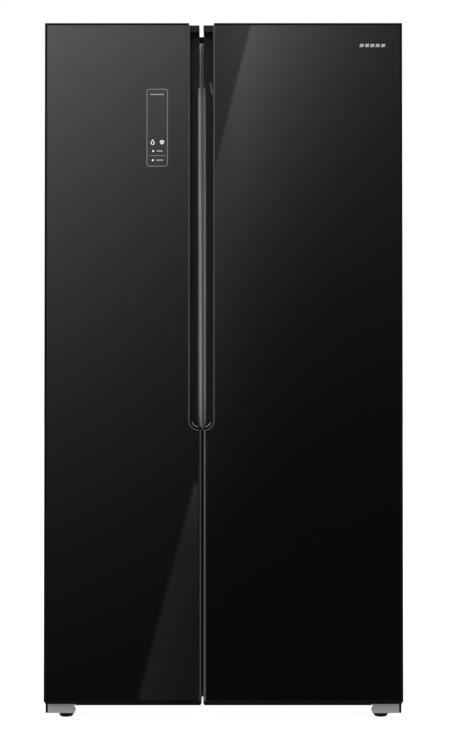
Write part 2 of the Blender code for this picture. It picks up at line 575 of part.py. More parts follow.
def door_body(name, sign, slot_edge, latch, scoop, neck, carrier, black):
    """Foam-filled door with the grip recess; sign is the hinge side."""
    outer = sign * (HALF - 0.004)
    x0, x1 = sorted((outer, latch))
    block = Shape().box((x0, BODY_FRONT, DOOR_BOTTOM), (x1, BODY_REAR, BODY_TOP))
    item = make(name, block, black, carrier)
    cutters = []
    recess = slot_outline(slot_edge, -sign, SLOT_BOTTOM, CAP_BOTTOM, SLOT_RADIUS)
    cutters.append(Shape().prism(recess, "Y", FRONT, DOOR_Y + SLOT_DEPTH))
    under = sorted((slot_edge + sign * GRIP_UNDERCUT, slot_edge - sign * 0.08))
    cutters.append(Shape().box((under[0], DOOR_Y + 0.012, SLOT_BOTTOM + 0.006),
                               (under[1], DOOR_Y + SLOT_DEPTH, GRIP_TOP)))
    gap = sorted((scoop, scoop - sign * 0.06))
    cutters.append(Shape().box((gap[0], DOOR_Y + 0.02, SLOT_BOTTOM + 0.006), (gap[1], DOOR_REAR, GRIP_TOP)))
    if neck is not None:
        gap = sorted((neck, neck - sign * 0.06))
        cutters.append(Shape().box((gap[0], DOOR_Y + 0.02, GRIP_TOP - 0.001), (gap[1], DOOR_REAR, HEIGHT)))
        cutters.append(Shape().box((gap[0], FRONT, CAP_BOTTOM - 0.001), (gap[1], DOOR_REAR, HEIGHT)))
    pins = Shape().cylinder(PIN + 0.0006, "Z", (sign * AXIS_X, AXIS_Y, 0), 0.02, BRACKET_TOP + PIN_LENGTH + 0.003, 20)
    pins.cylinder(PIN + 0.0006, "Z", (sign * AXIS_X, AXIS_Y, BODY_TOP), -PIN_LENGTH - 0.002, 0.02, 20)
    cutters.append(pins)
    for shape in cutters:
        combine(item, "DIFFERENCE", shape)


def door_glass(name, sign, slot_edge, latch, carrier, glass):
    bottom = DOOR_BOTTOM + 0.005
    outline = [(sign * HALF, bottom), (sign * HALF, DOOR_TOP), (slot_edge, DOOR_TOP)]
    outline += slot_outline(slot_edge, -sign, SLOT_BOTTOM, DOOR_TOP, SLOT_RADIUS)[1:-2]
    outline += [(latch, SLOT_BOTTOM), (latch, bottom)]
    make(name, Shape().prism(outline, "Y", DOOR_Y, DOOR_Y + GLASS), glass, carrier)


def door_inside(zone, sign, latch_liner, far, bins, carrier, plastic, rubber):
    """Inner liner with its rib frame, the gasket and the bins."""
    x0, x1 = sorted((sign * (HALF - 0.006), latch_liner))
    plate = Shape().box((x0, LINER_FRONT, DOOR_BOTTOM + 0.004), (x1, DOOR_REAR, DOOR_TOP - 0.008))
    near = sign * (AXIS_X - DYKE_START)
    y1 = DOOR_REAR + DYKE
    x0, x1 = sorted((near, far))
    z0, z1 = CAVITY_BOTTOM + 0.020, CAVITY_TOP - 0.020
    ring = Shape().box((x0, DOOR_REAR - 0.001, z0), (x1, y1, z1))
    field = Shape().box((x0 + DYKE_WALL, DOOR_REAR, z0 + DYKE_WALL), (x1 - DYKE_WALL, y1 + 0.01, z1 - DYKE_WALL))
    make(f"{zone}_door_liner", plate, plastic, carrier, add=[ring], cut=[field])

    gx0, gx1 = sorted((sign * (AXIS_X - 0.002), latch_liner + sign * 0.001))
    gz0, gz1 = CAVITY_BOTTOM - 0.028, CAVITY_TOP + 0.025
    seal = Shape().box((gx0, DOOR_REAR + CLEAR, gz0), (gx1, CABINET_FRONT - CLEAR, gz1))
    hole = Shape().box((gx0 + 0.011, FRONT, gz0 + 0.011), (gx1 - 0.011, REAR, gz1 - 0.011))
    make(f"{zone}_door_gasket", seal, rubber, carrier, cut=[hole])

    bx0, bx1 = x0 + DYKE_WALL + 0.0015, x1 - DYKE_WALL - 0.0015
    tubs, hollow = Shape(), Shape()
    for number in range(bins):
        z = BIN_FLOOR + number * BIN_PITCH
        low, high = (bx0, DOOR_REAR + CLEAR, z), (bx1, BIN_REACH, z + BIN_HEIGHT)
        tubs.box(low, high)
        hollow.box([value + BIN_WALL for value in low], (high[0] - BIN_WALL, high[1] - BIN_WALL, high[2] + 0.01))
    bottom, top = BIN_FLOOR + 0.001, BIN_FLOOR + (bins - 1) * BIN_PITCH + BIN_HEIGHT - 0.001
    rails = Shape()
    for x in (bx0 + 0.0005, bx1 - 0.0005 - RAIL):
        rails.box((x, DOOR_REAR + 2 * CLEAR, bottom), (x + RAIL, DOOR_REAR + 0.006, top))
    make(f"{zone}_door_bins", tubs, plastic, carrier, add=[rails], cut=[hollow])
    return bx0, bx1


def dairy_lid(carrier, span, plastic):
    """Flap over the top bin, hinged at the door."""
    z = BIN_FLOOR + 3 * BIN_PITCH + BIN_HEIGHT + 0.003
    y = DOOR_REAR + 0.005
    axis = body_at("dairy_lid_axis", (0, y, z))
    flap = Shape().box((span[0], y - 0.0015, z - 0.0015), (span[1], BIN_REACH - 0.004, z + 0.0015))
    lip = Shape().box((span[0], BIN_REACH - 0.0045, z - 0.0012), (span[1], BIN_REACH, z + 0.008))
    make("dairy_lid", flap, plastic, axis, add=[lip])
    axis.parent = carrier
    axis.location = [axis.location[i] - carrier.location[i] for i in range(3)]


def doors(black, glass, plastic, rubber, chrome):
    hinge_left = body_at("freezer_door_axis", (-AXIS_X, AXIS_Y, 0))
    hinge_right = body_at("fridge_door_axis", (AXIS_X, AXIS_Y, 0))
    half_gap = DOOR_GAP / 2
    left_edge, right_edge = SPLIT_X - SLOT_FREEZER, SPLIT_X + SLOT_FRIDGE
    door_body("freezer_door_body", -1, left_edge, SPLIT_X - half_gap, SPLIT_X - SCOOP_FREEZER,
              SPLIT_X - NECK_FREEZER, hinge_left, black)
    door_body("fridge_door_body", 1, right_edge, SPLIT_X + half_gap, SPLIT_X + SCOOP_FRIDGE, None,
              hinge_right, black)
    door_glass("freezer_door_glass", -1, left_edge, SPLIT_X - half_gap, hinge_left, glass)
    door_glass("fridge_door_glass", 1, right_edge, SPLIT_X + half_gap, hinge_right, glass)
    door_inside("freezer", -1, SPLIT_X - 0.0139, FREEZER[1] - 0.0157, 4, hinge_left, plastic, rubber)
    span = door_inside("fridge", 1, SPLIT_X + 0.0095, FRIDGE[0] + 0.0153, 4, hinge_right, plastic, rubber)
    dairy_lid(hinge_right, span, plastic)
    panel_x, panel_top = SPLIT_X - 0.0865, DOOR_TOP - 0.167
    panel = Shape().box((panel_x - 0.056, FRONT, panel_top - 0.200), (panel_x, FRONT + BADGE_PROUD, panel_top))
    make("touch_panel", panel, glass, hinge_left)
    badge_x, badge_top = HALF - 0.038, DOOR_TOP - 0.051
    plate = Shape().box((badge_x - 0.074, FRONT, badge_top - 0.014), (badge_x, FRONT + BADGE_PROUD, badge_top))
    make("badge", plate, chrome, hinge_right)


def build():
    for item in list(bpy.data.objects):
        bpy.data.objects.remove(item)
    black = finish("black_plastic", (0.012, 0.012, 0.013), 0.35)
    glass = finish("black_glass", (0.006, 0.006, 0.007), 0.03)
    shelf_glass = finish("shelf_glass", (0.72, 0.82, 0.82), 0.05)
    white = finish("white_plastic", (0.80, 0.81, 0.82), 0.35)
    clear = finish("clear_plastic", (0.70, 0.76, 0.80), 0.15)
    steel = finish("painted_steel", (0.20, 0.20, 0.21), 0.40, 0.6)
    alloy = finish("alloy", (0.75, 0.76, 0.78), 0.35, 1.0)
    chrome = finish("chrome", (0.80, 0.80, 0.80), 0.12, 1.0)
    rubber = finish("rubber", (0.03, 0.03, 0.03), 0.8)
    foam = finish("foam", (0.80, 0.76, 0.55), 0.9)
    root = body_at("cabinet", (0, 0, 0))
    cabinet_shell(root, steel, foam)
    liner("freezer_liner", FREEZER, FREEZER_SHELVES + (ICE_Z,), root, white)
    liner("fridge_liner", FRIDGE, FRIDGE_SHELVES, root, white)
    fittings(root, shelf_glass, white, black)
    cooling(root, alloy, black, white)
    base_plate(root, steel)
    underside(root, steel, rubber)
    top_hinges(root, steel, black)
    drawers(clear)
    ice_maker(root, white)
    doors(black, glass, white, rubber, chrome)


build()
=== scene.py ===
# %% [markdown]
# # A side by side refrigerator with black glass doors
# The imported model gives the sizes, places and moving bodies of every part. This script builds the
# surfaces a person sees around it: glass, pressed steel, moulded plastic, rubber seals and fins.
# Each piece is placed from the model's own boxes, so nothing has to be fitted by eye.

# %% Load the model
import json
import math

import bmesh
import bpy
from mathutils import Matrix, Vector

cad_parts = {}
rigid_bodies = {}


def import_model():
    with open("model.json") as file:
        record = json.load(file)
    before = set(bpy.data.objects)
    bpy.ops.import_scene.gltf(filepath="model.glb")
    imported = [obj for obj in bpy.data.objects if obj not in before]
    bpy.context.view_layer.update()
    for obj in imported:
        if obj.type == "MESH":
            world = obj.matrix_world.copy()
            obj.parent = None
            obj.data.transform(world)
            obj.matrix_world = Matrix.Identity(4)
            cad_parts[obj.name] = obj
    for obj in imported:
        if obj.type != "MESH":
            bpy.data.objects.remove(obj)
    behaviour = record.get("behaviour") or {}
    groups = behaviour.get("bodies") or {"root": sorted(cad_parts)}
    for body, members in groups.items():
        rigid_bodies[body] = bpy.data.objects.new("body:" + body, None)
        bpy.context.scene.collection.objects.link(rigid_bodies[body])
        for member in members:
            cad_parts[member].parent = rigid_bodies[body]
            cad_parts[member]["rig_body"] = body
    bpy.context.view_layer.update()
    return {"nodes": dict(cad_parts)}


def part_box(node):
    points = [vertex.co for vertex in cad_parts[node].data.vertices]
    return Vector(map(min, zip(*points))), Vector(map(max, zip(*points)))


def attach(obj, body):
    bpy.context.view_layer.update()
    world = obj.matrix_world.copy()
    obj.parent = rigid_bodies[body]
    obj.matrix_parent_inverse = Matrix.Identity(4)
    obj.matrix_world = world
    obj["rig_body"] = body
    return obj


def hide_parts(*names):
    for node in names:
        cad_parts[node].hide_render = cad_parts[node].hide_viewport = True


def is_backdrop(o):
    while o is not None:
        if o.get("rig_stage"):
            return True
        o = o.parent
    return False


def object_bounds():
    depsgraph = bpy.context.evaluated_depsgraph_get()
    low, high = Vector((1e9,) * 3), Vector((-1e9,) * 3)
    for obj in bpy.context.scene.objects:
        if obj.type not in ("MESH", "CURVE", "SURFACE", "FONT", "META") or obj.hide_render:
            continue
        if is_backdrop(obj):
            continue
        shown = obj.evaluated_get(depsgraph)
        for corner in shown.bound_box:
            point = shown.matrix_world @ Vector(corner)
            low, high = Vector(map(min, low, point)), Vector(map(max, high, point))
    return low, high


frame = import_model()
nodes = frame["nodes"]

# %% [markdown]
# ## Shader arithmetic
# A material is a small program. Written with operators it reads like the formula it is, so one class
# wraps a socket, and each operator adds the Math node that does the work.


# %% A socket that can be added and multiplied
class Wire:
    """The output of a shader node, usable in ordinary arithmetic."""

    def __init__(self, tree, socket):
        self.tree, self.socket = tree, socket

    def node(self, kind, settings=None, inputs=None, output=0):
        return add_node(self.tree, kind, settings, inputs, output)

    def math(self, operation, *values):
        return self.node("ShaderNodeMath", {"operation": operation}, dict(enumerate(values)))

    def __add__(self, other):
        return self.math("ADD", self, other)

    def __sub__(self, other):
        return self.math("SUBTRACT", self, other)

    def __rsub__(self, other):
        return self.math("SUBTRACT", other, self)

    def __mul__(self, other):
        return self.math("MULTIPLY", self, other)

    def __truediv__(self, other):
        return self.math("DIVIDE", self, other)

    def __pow__(self, other):
        return self.math("POWER", self, other)

    def __gt__(self, other):
        return self.math("GREATER_THAN", self, other)

    def __lt__(self, other):
        return self.math("LESS_THAN", self, other)

    def clamped(self, low=0.0, high=1.0):
        return self.math("MINIMUM", self.math("MAXIMUM", self, low), high)

    __radd__ = __add__
    __rmul__ = __mul__


def add_node(tree, kind, settings=None, inputs=None, output=0):
    """Add a node, set it up, then connect or fill its sockets."""
    node = tree.nodes.new(kind)
    for key, value in (settings or {}).items():
        setattr(node, key, value)
    for key, value in (inputs or {}).items():
        if isinstance(value, Wire):
            tree.links.new(value.socket, node.inputs[key])
        else:
            node.inputs[key].default_value = value
    return Wire(tree, node.outputs[output])


print("shader arithmetic is ready")

# %% [markdown]
# ## A finish
# Every finish starts from the Principled shader. What is the same all over is set on its own socket.
# What changes over the surface, such as grain or wear, comes from noise in the object's own metres, so
# it stays at its real scale and moves with the piece.


# %% The finish class
class Finish:
    """A material with its shader, and short ways to noise and bump."""

    def __init__(self, name, colour, roughness, metallic=0.0, **sockets):
        self.material = bpy.data.materials.new(name)
        self.material.use_nodes = True
        self.tree = self.material.node_tree
        self.shader = self.tree.nodes["Principled BSDF"]
        self.colour = (*colour, 1.0)
        self.shader.inputs["Base Color"].default_value = self.colour
        self.shader.inputs["Roughness"].default_value = roughness
        self.shader.inputs["Metallic"].default_value = metallic
        for key, value in sockets.items():
            self.shader.inputs[key.replace("_", " ")].default_value = value
        self.place = add_node(self.tree, "ShaderNodeTexCoord", output="Object")

    def stretched(self, x, y, z):
        return self.place.node("ShaderNodeVectorMath", {"operation": "MULTIPLY"},
                               {0: self.place, 1: (x, y, z)})

    def axis(self, name):
        return self.place.node("ShaderNodeSeparateXYZ", None, {0: self.place}, name)

    def noise(self, scale, detail=3.0, at=None):
        return self.place.node("ShaderNodeTexNoise", None,
                               {"Vector": at or self.place, "Scale": scale, "Detail": detail})

    def cells(self, scale, output="Distance"):
        return self.place.node("ShaderNodeTexVoronoi", {"feature": "F1"},
                               {"Vector": self.place, "Scale": scale}, output)

    def feed(self, socket, wire):
        self.tree.links.new(wire.socket, self.shader.inputs[socket])
        return self

    def bump(self, height, strength, distance):
        relief = self.place.node("ShaderNodeBump", None,
                                 {"Strength": strength, "Distance": distance, "Height": height})
        return self.feed("Normal", relief)

    def tinted(self, amount, other):
        """Base colour mixed towards another where a mask says so."""
        mixed = self.place.node("ShaderNodeMix", {"data_type": "RGBA"},
                                {0: amount, 6: self.colour, 7: (*other, 1.0)}, 2)
        return self.feed("Base Color", mixed)


print("finishes can be made")

# %% [markdown]
# ## The door glass
# The doors are clear toughened glass, enamelled black on the back. From the front that is a nearly
# black body under a mirror-smooth face. A perfect mirror looks like a rendering, so a thin uneven film
# of dust and wiped streaks changes the roughness a little, and the face itself stays flat.

# %% Glass and gloss finishes
door_glass = Finish("door_glass", (0.0019, 0.0019, 0.0021), 0.03, IOR=1.5)
wipes = door_glass.noise(2.2, 5.0, door_glass.stretched(1.0, 1.0, 0.35))
specks = (door_glass.noise(260.0, 2.0) - 0.62).clamped() * 2.0
door_glass.feed("Roughness", 0.022 + 0.02 * (wipes - 0.45).clamped() + 0.12 * specks)
door_glass.tinted((specks * 0.3).clamped(), (0.02, 0.02, 0.02))

panel_glass = Finish("panel_glass", (0.006, 0.006, 0.0065), 0.05, IOR=1.5)
panel_glass.feed("Roughness", 0.04 + 0.06 * panel_glass.noise(60.0))

shelf_glass = Finish("shelf_glass", (0.78, 0.87, 0.86), 0.04, IOR=1.5)
rim_view = shelf_glass.place.node("ShaderNodeLayerWeight", None, {"Blend": 0.35}, "Facing")
shelf_glass.feed("Alpha", 0.22 + 0.6 * rim_view)
shelf_glass.tinted(rim_view, (0.30, 0.55, 0.50))
shelf_glass.feed("Roughness", 0.03 + 0.05 * shelf_glass.noise(40.0))

print("glass finishes:", door_glass.material.name, panel_glass.material.name, shelf_glass.material.name)

# %% [markdown]
# ## Moulded plastics
# A moulded part shows the texture of its tool: fine spark-eroded grain on dark parts, a smoother skin
# on the vacuum-formed white liner, and flow lines in the clear drawers. The clear parts use Alpha, which
# renders quickly and keeps what is stored inside visible.


# %% Plastic finishes
def grained(name, colour, roughness, scale, depth, shine=0.5):
    """A moulded plastic with fine tool grain and soft uneven sheen."""
    finish = Finish(name, colour, roughness, IOR=1.46, Specular_IOR_Level=shine)
    grain = finish.noise(scale, 2.0)
    cloud = finish.noise(6.0, 3.0)
    finish.bump(grain, 0.25, depth)
    finish.feed("Roughness", roughness - 0.05 + 0.1 * cloud + 0.06 * grain)
    finish.tinted((cloud - 0.45).clamped() * 0.5, [min(1.0, c * 1.25 + 0.004) for c in colour])
    return finish


black_plastic = grained("black_plastic", (0.006, 0.006, 0.0065), 0.42, 1400.0, 0.0002, 0.16)
trim_plastic = grained("trim_plastic", (0.0025, 0.0025, 0.003), 0.35, 900.0, 0.0001, 0.06)
white_plastic = grained("white_plastic", (0.80, 0.82, 0.83), 0.32, 300.0, 0.0002)
grey_plastic = grained("grey_plastic", (0.33, 0.35, 0.37), 0.35, 700.0, 0.0001)
ice_plastic = grained("ice_plastic", (0.62, 0.74, 0.84), 0.28, 500.0, 0.0001)


def clear_plastic_finish():
    finish = Finish("clear_plastic", (0.74, 0.82, 0.87), 0.12, IOR=1.55)
    edge = finish.place.node("ShaderNodeLayerWeight", None, {"Blend": 0.45}, "Facing")
    flow = finish.noise(9.0, 4.0, finish.stretched(1.0, 1.0, 4.0))
    finish.feed("Alpha", (0.26 + 0.6 * edge + 0.08 * flow).clamped())
    finish.feed("Roughness", 0.08 + 0.12 * flow)
    return finish


clear_plastic = clear_plastic_finish()
rubber = grained("gasket_rubber", (0.055, 0.055, 0.058), 0.62, 1100.0, 0.0003)
foot_rubber = grained("foot_rubber", (0.003, 0.003, 0.003), 0.75, 800.0, 0.0004, 0.1)
print("plastics:", [f.material.name for f in (black_plastic, trim_plastic, white_plastic, clear_plastic)])

# %% [markdown]
# ## Painted and bare metals
# The cabinet is painted steel sheet with the slight orange peel of powder paint. The hidden sheet and
# the brackets are galvanised: zinc freezes in flat crystals, which Voronoi cells imitate. The bright
# trims are brushed along their length, so their noise is stretched along Z.


# %% Metal finishes
def painted(name, colour, roughness):
    finish = Finish(name, colour, roughness, Coat_Weight=0.15, Coat_Roughness=0.2)
    peel = finish.noise(420.0, 2.0)
    finish.bump(peel, 0.35, 0.0003)
    finish.feed("Roughness", roughness - 0.05 + 0.12 * finish.noise(5.0, 4.0))
    return finish


def brushed(name, colour, roughness, along):
    finish = Finish(name, colour, roughness, 1.0)
    lines = finish.noise(1.0, 4.0, finish.stretched(*along))
    finish.bump(lines, 0.2, 0.0001)
    finish.feed("Roughness", roughness - 0.06 + 0.16 * lines)
    finish.tinted((lines - 0.4).clamped() * 0.6, [c * 0.7 for c in colour])
    return finish


def galvanised():
    finish = Finish("zinc_steel", (0.46, 0.47, 0.48), 0.42, 0.85)
    crystals = finish.cells(90.0, output="Color")
    grey = finish.place.node("ShaderNodeRGBToBW", None, {0: crystals})
    finish.tinted(grey * 0.35, (0.36, 0.37, 0.38))
    finish.feed("Roughness", 0.34 + 0.2 * grey)
    finish.bump(finish.noise(300.0, 2.0), 0.15, 0.0002)
    return finish


cabinet_paint = painted("cabinet_paint", (0.032, 0.032, 0.034), 0.36)
frame_paint = painted("frame_paint", (0.52, 0.52, 0.53), 0.34)
# A darker copy of the frame paint for the right mullion bead: painted shade.
painted_shade_bead = painted("painted_shade_bead", (0.34, 0.34, 0.35), 0.34)
# A darker copy of the frame paint for the groove between the beads: painted shade.
painted_shade_groove = painted("painted_shade_groove", (0.12, 0.12, 0.122), 0.40)
bracket_paint = painted("bracket_paint", (0.20, 0.20, 0.205), 0.45)
compressor_paint = painted("compressor_paint", (0.012, 0.012, 0.013), 0.22)
zinc_steel = galvanised()
edge_metal = brushed("edge_metal", (0.070, 0.070, 0.073), 0.34, (900.0, 900.0, 14.0))
# A lighter copy of edge_metal for the fridge latch strip and the grip facet: painted highlight.
latch_painted_highlight = brushed("latch_painted_highlight", (0.120, 0.120, 0.124), 0.34, (900.0, 900.0, 14.0))
# A much lighter copy of the brushed trim metal for the slot's lip: painted highlight.
lip_painted_highlight = brushed("lip_painted_highlight", (0.28, 0.28, 0.285), 0.34, (900.0, 900.0, 14.0))
badge_metal = brushed("badge_metal", (0.62, 0.62, 0.63), 0.25, (14.0, 900.0, 900.0))
alloy = brushed("alloy", (0.78, 0.79, 0.80), 0.34, (40.0, 400.0, 400.0))
copper = brushed("copper", (0.72, 0.36, 0.22), 0.28, (60.0, 60.0, 60.0))
bright_steel = brushed("bright_steel", (0.66, 0.67, 0.68), 0.22, (300.0, 300.0, 300.0))
print("metals:", cabinet_paint.material.name, zinc_steel.material.name, edge_metal.material.name)

# %% [markdown]
# ## Foam, light covers and printed marks
# The foam fills the walls and shows only where a cover is off, as a pale yellow skin full of small
# closed cells. The lamp covers glow a little. The marks on the panel are printed ink, which also glows a
# little as a painted glow.


# %% Foam, lamp and ink finishes
foam = Finish("foam", (0.78, 0.72, 0.48), 0.85)
bubbles = foam.cells(260.0)
foam.bump(bubbles, 0.5, 0.001)
foam.tinted((bubbles * 0.8).clamped(), (0.62, 0.55, 0.33))

lamp_cover = Finish("lamp_cover", (0.9, 0.92, 0.95), 0.3, Emission_Strength=1.0)
glow = lamp_cover.place.node("ShaderNodeMix", {"data_type": "RGBA"},
                             {0: lamp_cover.noise(30.0), 6: (0.85, 0.92, 1.0, 1), 7: (1, 1, 1, 1)}, 2)
lamp_cover.feed("Emission Color", glow)


def ink(name, colour, light):
    # The emission makes the printed ink glow a little: a painted glow.
    finish = Finish(name, colour, 0.5, Emission_Strength=light)
    speckle = finish.noise(2500.0, 2.0)
    finish.tinted(speckle * 0.4, [c * 0.8 for c in colour])
    # The colour of the painted glow, speckled like the ink.
    shine = finish.place.node("ShaderNodeMix", {"data_type": "RGBA"},
                              {0: speckle, 6: (*colour, 1), 7: (*[c * 0.9 for c in colour], 1)}, 2)
    finish.feed("Emission Color", shine)
    return finish


line_painted_glow_ink = ink("line_painted_glow_ink", (0.10, 0.10, 0.105), 0.10)
icon_painted_glow_ink = ink("icon_painted_glow_ink", (0.55, 0.57, 0.60), 0.25)
mark_painted_glow_ink = ink("mark_painted_glow_ink", (0.21, 0.215, 0.22), 0.10)
print("inks:", line_painted_glow_ink.material.name, icon_painted_glow_ink.material.name, mark_painted_glow_ink.material.name)

# %% [markdown]
# ## Building meshes from outlines
# Nearly every part of a refrigerator is an outline pushed along an axis or a profile turned about one.
# A small class collects such solids in one mesh. A bevel modifier then rounds the edges by the
# radius that the real press or mould leaves, and those thin highlights make the shapes readable.

# %% The mesh class
PLANES = {"X": (1, 2, 0), "Y": (0, 2, 1), "Z": (0, 1, 2)}


def spot(plane, u, v, w):
    place = [0.0, 0.0, 0.0]
    place[PLANES[plane][0]], place[PLANES[plane][1]], place[PLANES[plane][2]] = u, v, w
    return Vector(place)


class Form:
    """A mesh gathered from boxes, prisms, turned profiles and tubes."""

    def __init__(self):
        self.bm = bmesh.new()

    def rings(self, rings, closed=False, capped=True):
        made = [[self.bm.verts.new(p) for p in ring] for ring in rings]
        pairs = list(zip(made, made[1:])) + ([(made[-1], made[0])] if closed else [])
        for one, two in pairs:
            for k in range(max(len(one), len(two))):
                j = k + 1
                loop = [one[k % len(one)], one[j % len(one)], two[j % len(two)], two[k % len(two)]]
                loop = list(dict.fromkeys(loop))
                if len(loop) > 2:
                    self.bm.faces.new(loop)
        if capped and not closed:
            for ring in (made[0], made[-1]):
                if len(ring) > 2:
                    self.bm.faces.new(ring)
        return self

    def prism(self, outline, plane, low, high):
        return self.rings([[spot(plane, u, v, w) for u, v in outline] for w in (low, high)])

    def box(self, low, high):
        outline = [(low[0], low[1]), (high[0], low[1]), (high[0], high[1]), (low[0], high[1])]
        return self.prism(outline, "Z", low[2], high[2])

    def turned(self, profile, plane, centre, steps=32, closed=False):
        rings = []
        for radius, distance in profile:
            count = steps if radius > 0 else 1
            rings.append([Vector(centre) + spot(plane, radius * math.cos(2 * math.pi * k / count),
                                                radius * math.sin(2 * math.pi * k / count), distance)
                          for k in range(count)])
        return self.rings(rings, closed, capped=False)

    def tube(self, path, radius, steps=10):
        points = [Vector(p) for p in path]
        rings, side = [], None
        for i, point in enumerate(points):
            ahead = (points[min(i + 1, len(points) - 1)] - points[max(i - 1, 0)]).normalized()
            if side is None:
                side = ahead.orthogonal().normalized()
            side = (side - ahead * side.dot(ahead)).normalized()
            across = ahead.cross(side)
            turns = [2 * math.pi * k / steps for k in range(steps)]
            rings.append([point + radius * (side * math.cos(turn) + across * math.sin(turn))
                          for turn in turns])
        return self.rings(rings)

    def place(self, name, finish, body, slot, replaces=(), edge=0.0, segments=2, sharp=35):
        """Turn the gathered mesh into a piece that rides on a body."""
        bmesh.ops.recalc_face_normals(self.bm, faces=self.bm.faces)
        data = bpy.data.meshes.new(name)
        self.bm.to_mesh(data)
        self.bm.free()
        return dress(name, data, finish, body, replaces, edge, segments, sharp)


def dress(name, data, finish, body, replaces, edge, segments, sharp=35):
    piece = bpy.data.objects.new(name, data)
    bpy.context.scene.collection.objects.link(piece)
    data.materials.append(finish.material)
    data.shade_smooth()
    data.set_sharp_from_angle(angle=math.radians(sharp))
    if edge:
        bevel = piece.modifiers.new("edge", "BEVEL")
        bevel.width, bevel.segments = edge, segments
        bevel.limit_method, bevel.angle_limit = "ANGLE", math.radians(30)
        bevel.harden_normals = True
    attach(piece, body)
    if replaces:
        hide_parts(*replaces)
    return piece


print("mesh tools are ready")

# %% [markdown]
# ## Rounding the model's own pieces
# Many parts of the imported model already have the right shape, but their edges are perfectly sharp. The
# next helper copies such a mesh, joins its split corners, removes the triangle edges inside flat
# faces and rounds what is left. The original stays untouched and is only hidden.


# %% Softened copies
def softened(node, finish, edge=0.0008, segments=2):
    """A copy of a model piece with rounded edges, which stands in for it."""
    bm = bmesh.new()
    bm.from_mesh(nodes[node].data)
    bmesh.ops.remove_doubles(bm, verts=bm.verts, dist=1e-6)
    bmesh.ops.dissolve_limit(bm, angle_limit=math.radians(1), verts=bm.verts, edges=bm.edges)
    bm.verts.index_update()
    places = [v.co.copy() for v in bm.verts]
    faces = [[v.index for v in face.verts] for face in bm.faces]
    bm.free()
    data = bpy.data.meshes.new(node + "_soft")
    data.from_pydata(places, [], faces)
    return dress(node + "_soft", data, finish, nodes[node]["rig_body"], [node], edge, segments)


def refinish(finish, *names):
    """Keep a model piece and give it a better material."""
    for name in names:
        nodes[name].data.materials.clear()
        nodes[name].data.materials.append(finish.material)


low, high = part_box("freezer_door_glass")
right_low, right_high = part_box("fridge_door_glass")
GLASS_Y = low.y
DOOR_TOP, GLASS_BOTTOM = high.z, low.z
SPLIT = (high.x + right_low.x) / 2
GAP = right_low.x - high.x
HALF = right_high.x
body_low, body_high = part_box("freezer_door_body")
print("doors meet at", round(SPLIT, 4), "with a gap of", round(GAP * 1000, 1), "mm")

# %% [markdown]
# ## The door faces
# Each face is one pane of toughened glass, ground along its edge, sitting in a thin black rim. A long
# slot is cut into the latch edge, so a hand can reach behind the glass and pull the door. The outline is
# drawn once and then moved inwards by the width of the rim, so glass and rim always run parallel.

# %% Panes and rims
SLOT_BOTTOM, SLOT_RADIUS = 0.735, 0.025
RIM = 0.0060
FREEZER_SIDE = {"zone": "freezer", "sign": -1, "edge": SPLIT - 0.034, "latch": SPLIT - GAP / 2,
                "body": "freezer_door"}
FRIDGE_SIDE = {"zone": "fridge", "sign": 1, "edge": SPLIT + 0.0285, "latch": SPLIT + GAP / 2,
               "body": "fridge_door"}


def arc(centre, radius, start, end, steps):
    """Points on an arc, with angles in degrees."""
    turns = [math.radians(start + (end - start) * k / steps) for k in range(steps + 1)]
    return [(centre[0] + radius * math.cos(t), centre[1] + radius * math.sin(t)) for t in turns]


def face_outline(door, inset, strip):
    """Outline (x, z) of a door face: inset at the outside, strip wide at the latch side."""
    towards = -door["sign"]
    outer = door["sign"] * (HALF - inset)
    centre = (door["edge"] + towards * SLOT_RADIUS, SLOT_BOTTOM + SLOT_RADIUS)
    start, end = (180, 270) if towards > 0 else (360, 270)
    curve = arc(centre, SLOT_RADIUS + strip, start, end, 12)
    latch = door["latch"] - towards * max(strip * 2.5, 0.0006)
    points = [(outer, GLASS_BOTTOM + inset), (outer, DOOR_TOP - inset),
              (door["edge"] - towards * strip, DOOR_TOP - inset)] + curve
    return points + [(latch, SLOT_BOTTOM - strip), (latch, GLASS_BOTTOM + inset)]


for door in (FREEZER_SIDE, FRIDGE_SIDE):
    pane = Form().prism(face_outline(door, RIM, 0.0036), "Y", GLASS_Y, GLASS_Y + 0.0032)
    pane.place(door["zone"] + "_glass_pane", door_glass, door["body"], "door_glass",
               [door["zone"] + "_door_glass"], edge=0.0006, segments=3)
    rim = Form().prism(face_outline(door, 0.0, 0.0006), "Y", GLASS_Y + 0.0014, GLASS_Y + 0.0040)
    rim.place(door["zone"] + "_glass_rim", trim_plastic, door["body"], "black_plastic", edge=0.0005)
widths = [round(HALF + FREEZER_SIDE["latch"], 3), round(HALF - FRIDGE_SIDE["latch"], 3)]
print("panes are", widths, "metres wide")

# %% [markdown]
# ## The metal strip around the hand slot
# A satin metal strip guards the glass where fingers pass. It follows the slot edge down, turns round
# the bottom corner and continues along the gap to the foot of the door. It is a sweep between two
# lines: one lies on the glass, the other a few millimetres further in and further back.

# %% Slot edge strips
STRIP = 0.0033
SECTION = [(0.0, 0.0034), (0.0, 0.0002), (0.08, 0.0), (0.3, 0.0002), (0.55, 0.0009), (0.78, 0.0022),
           (0.93, 0.0038), (1.0, 0.0060), (1.0, 0.0110), (0.75, 0.0110), (0.5, 0.0042)]


def strip_between(outer, inner, fall):
    """Sections of a strip between two lines; fall scales how far it drops towards the inner line."""
    return [[(a[0] + (b[0] - a[0]) * s, GLASS_Y + 0.0003 + depth * fall, a[1] + (b[1] - a[1]) * s)
             for s, depth in SECTION] for a, b in zip(outer, inner)]


def corner_point(door, radius, share):
    """A point on the slot's bottom corner, from its side (0) to its lowest point (1)."""
    t = -door["sign"]
    centre = (door["edge"] + t * SLOT_RADIUS, SLOT_BOTTOM + SLOT_RADIUS)
    turn = math.radians(90 * share)
    return centre[0] - t * radius * math.cos(turn), centre[1] - radius * math.sin(turn)


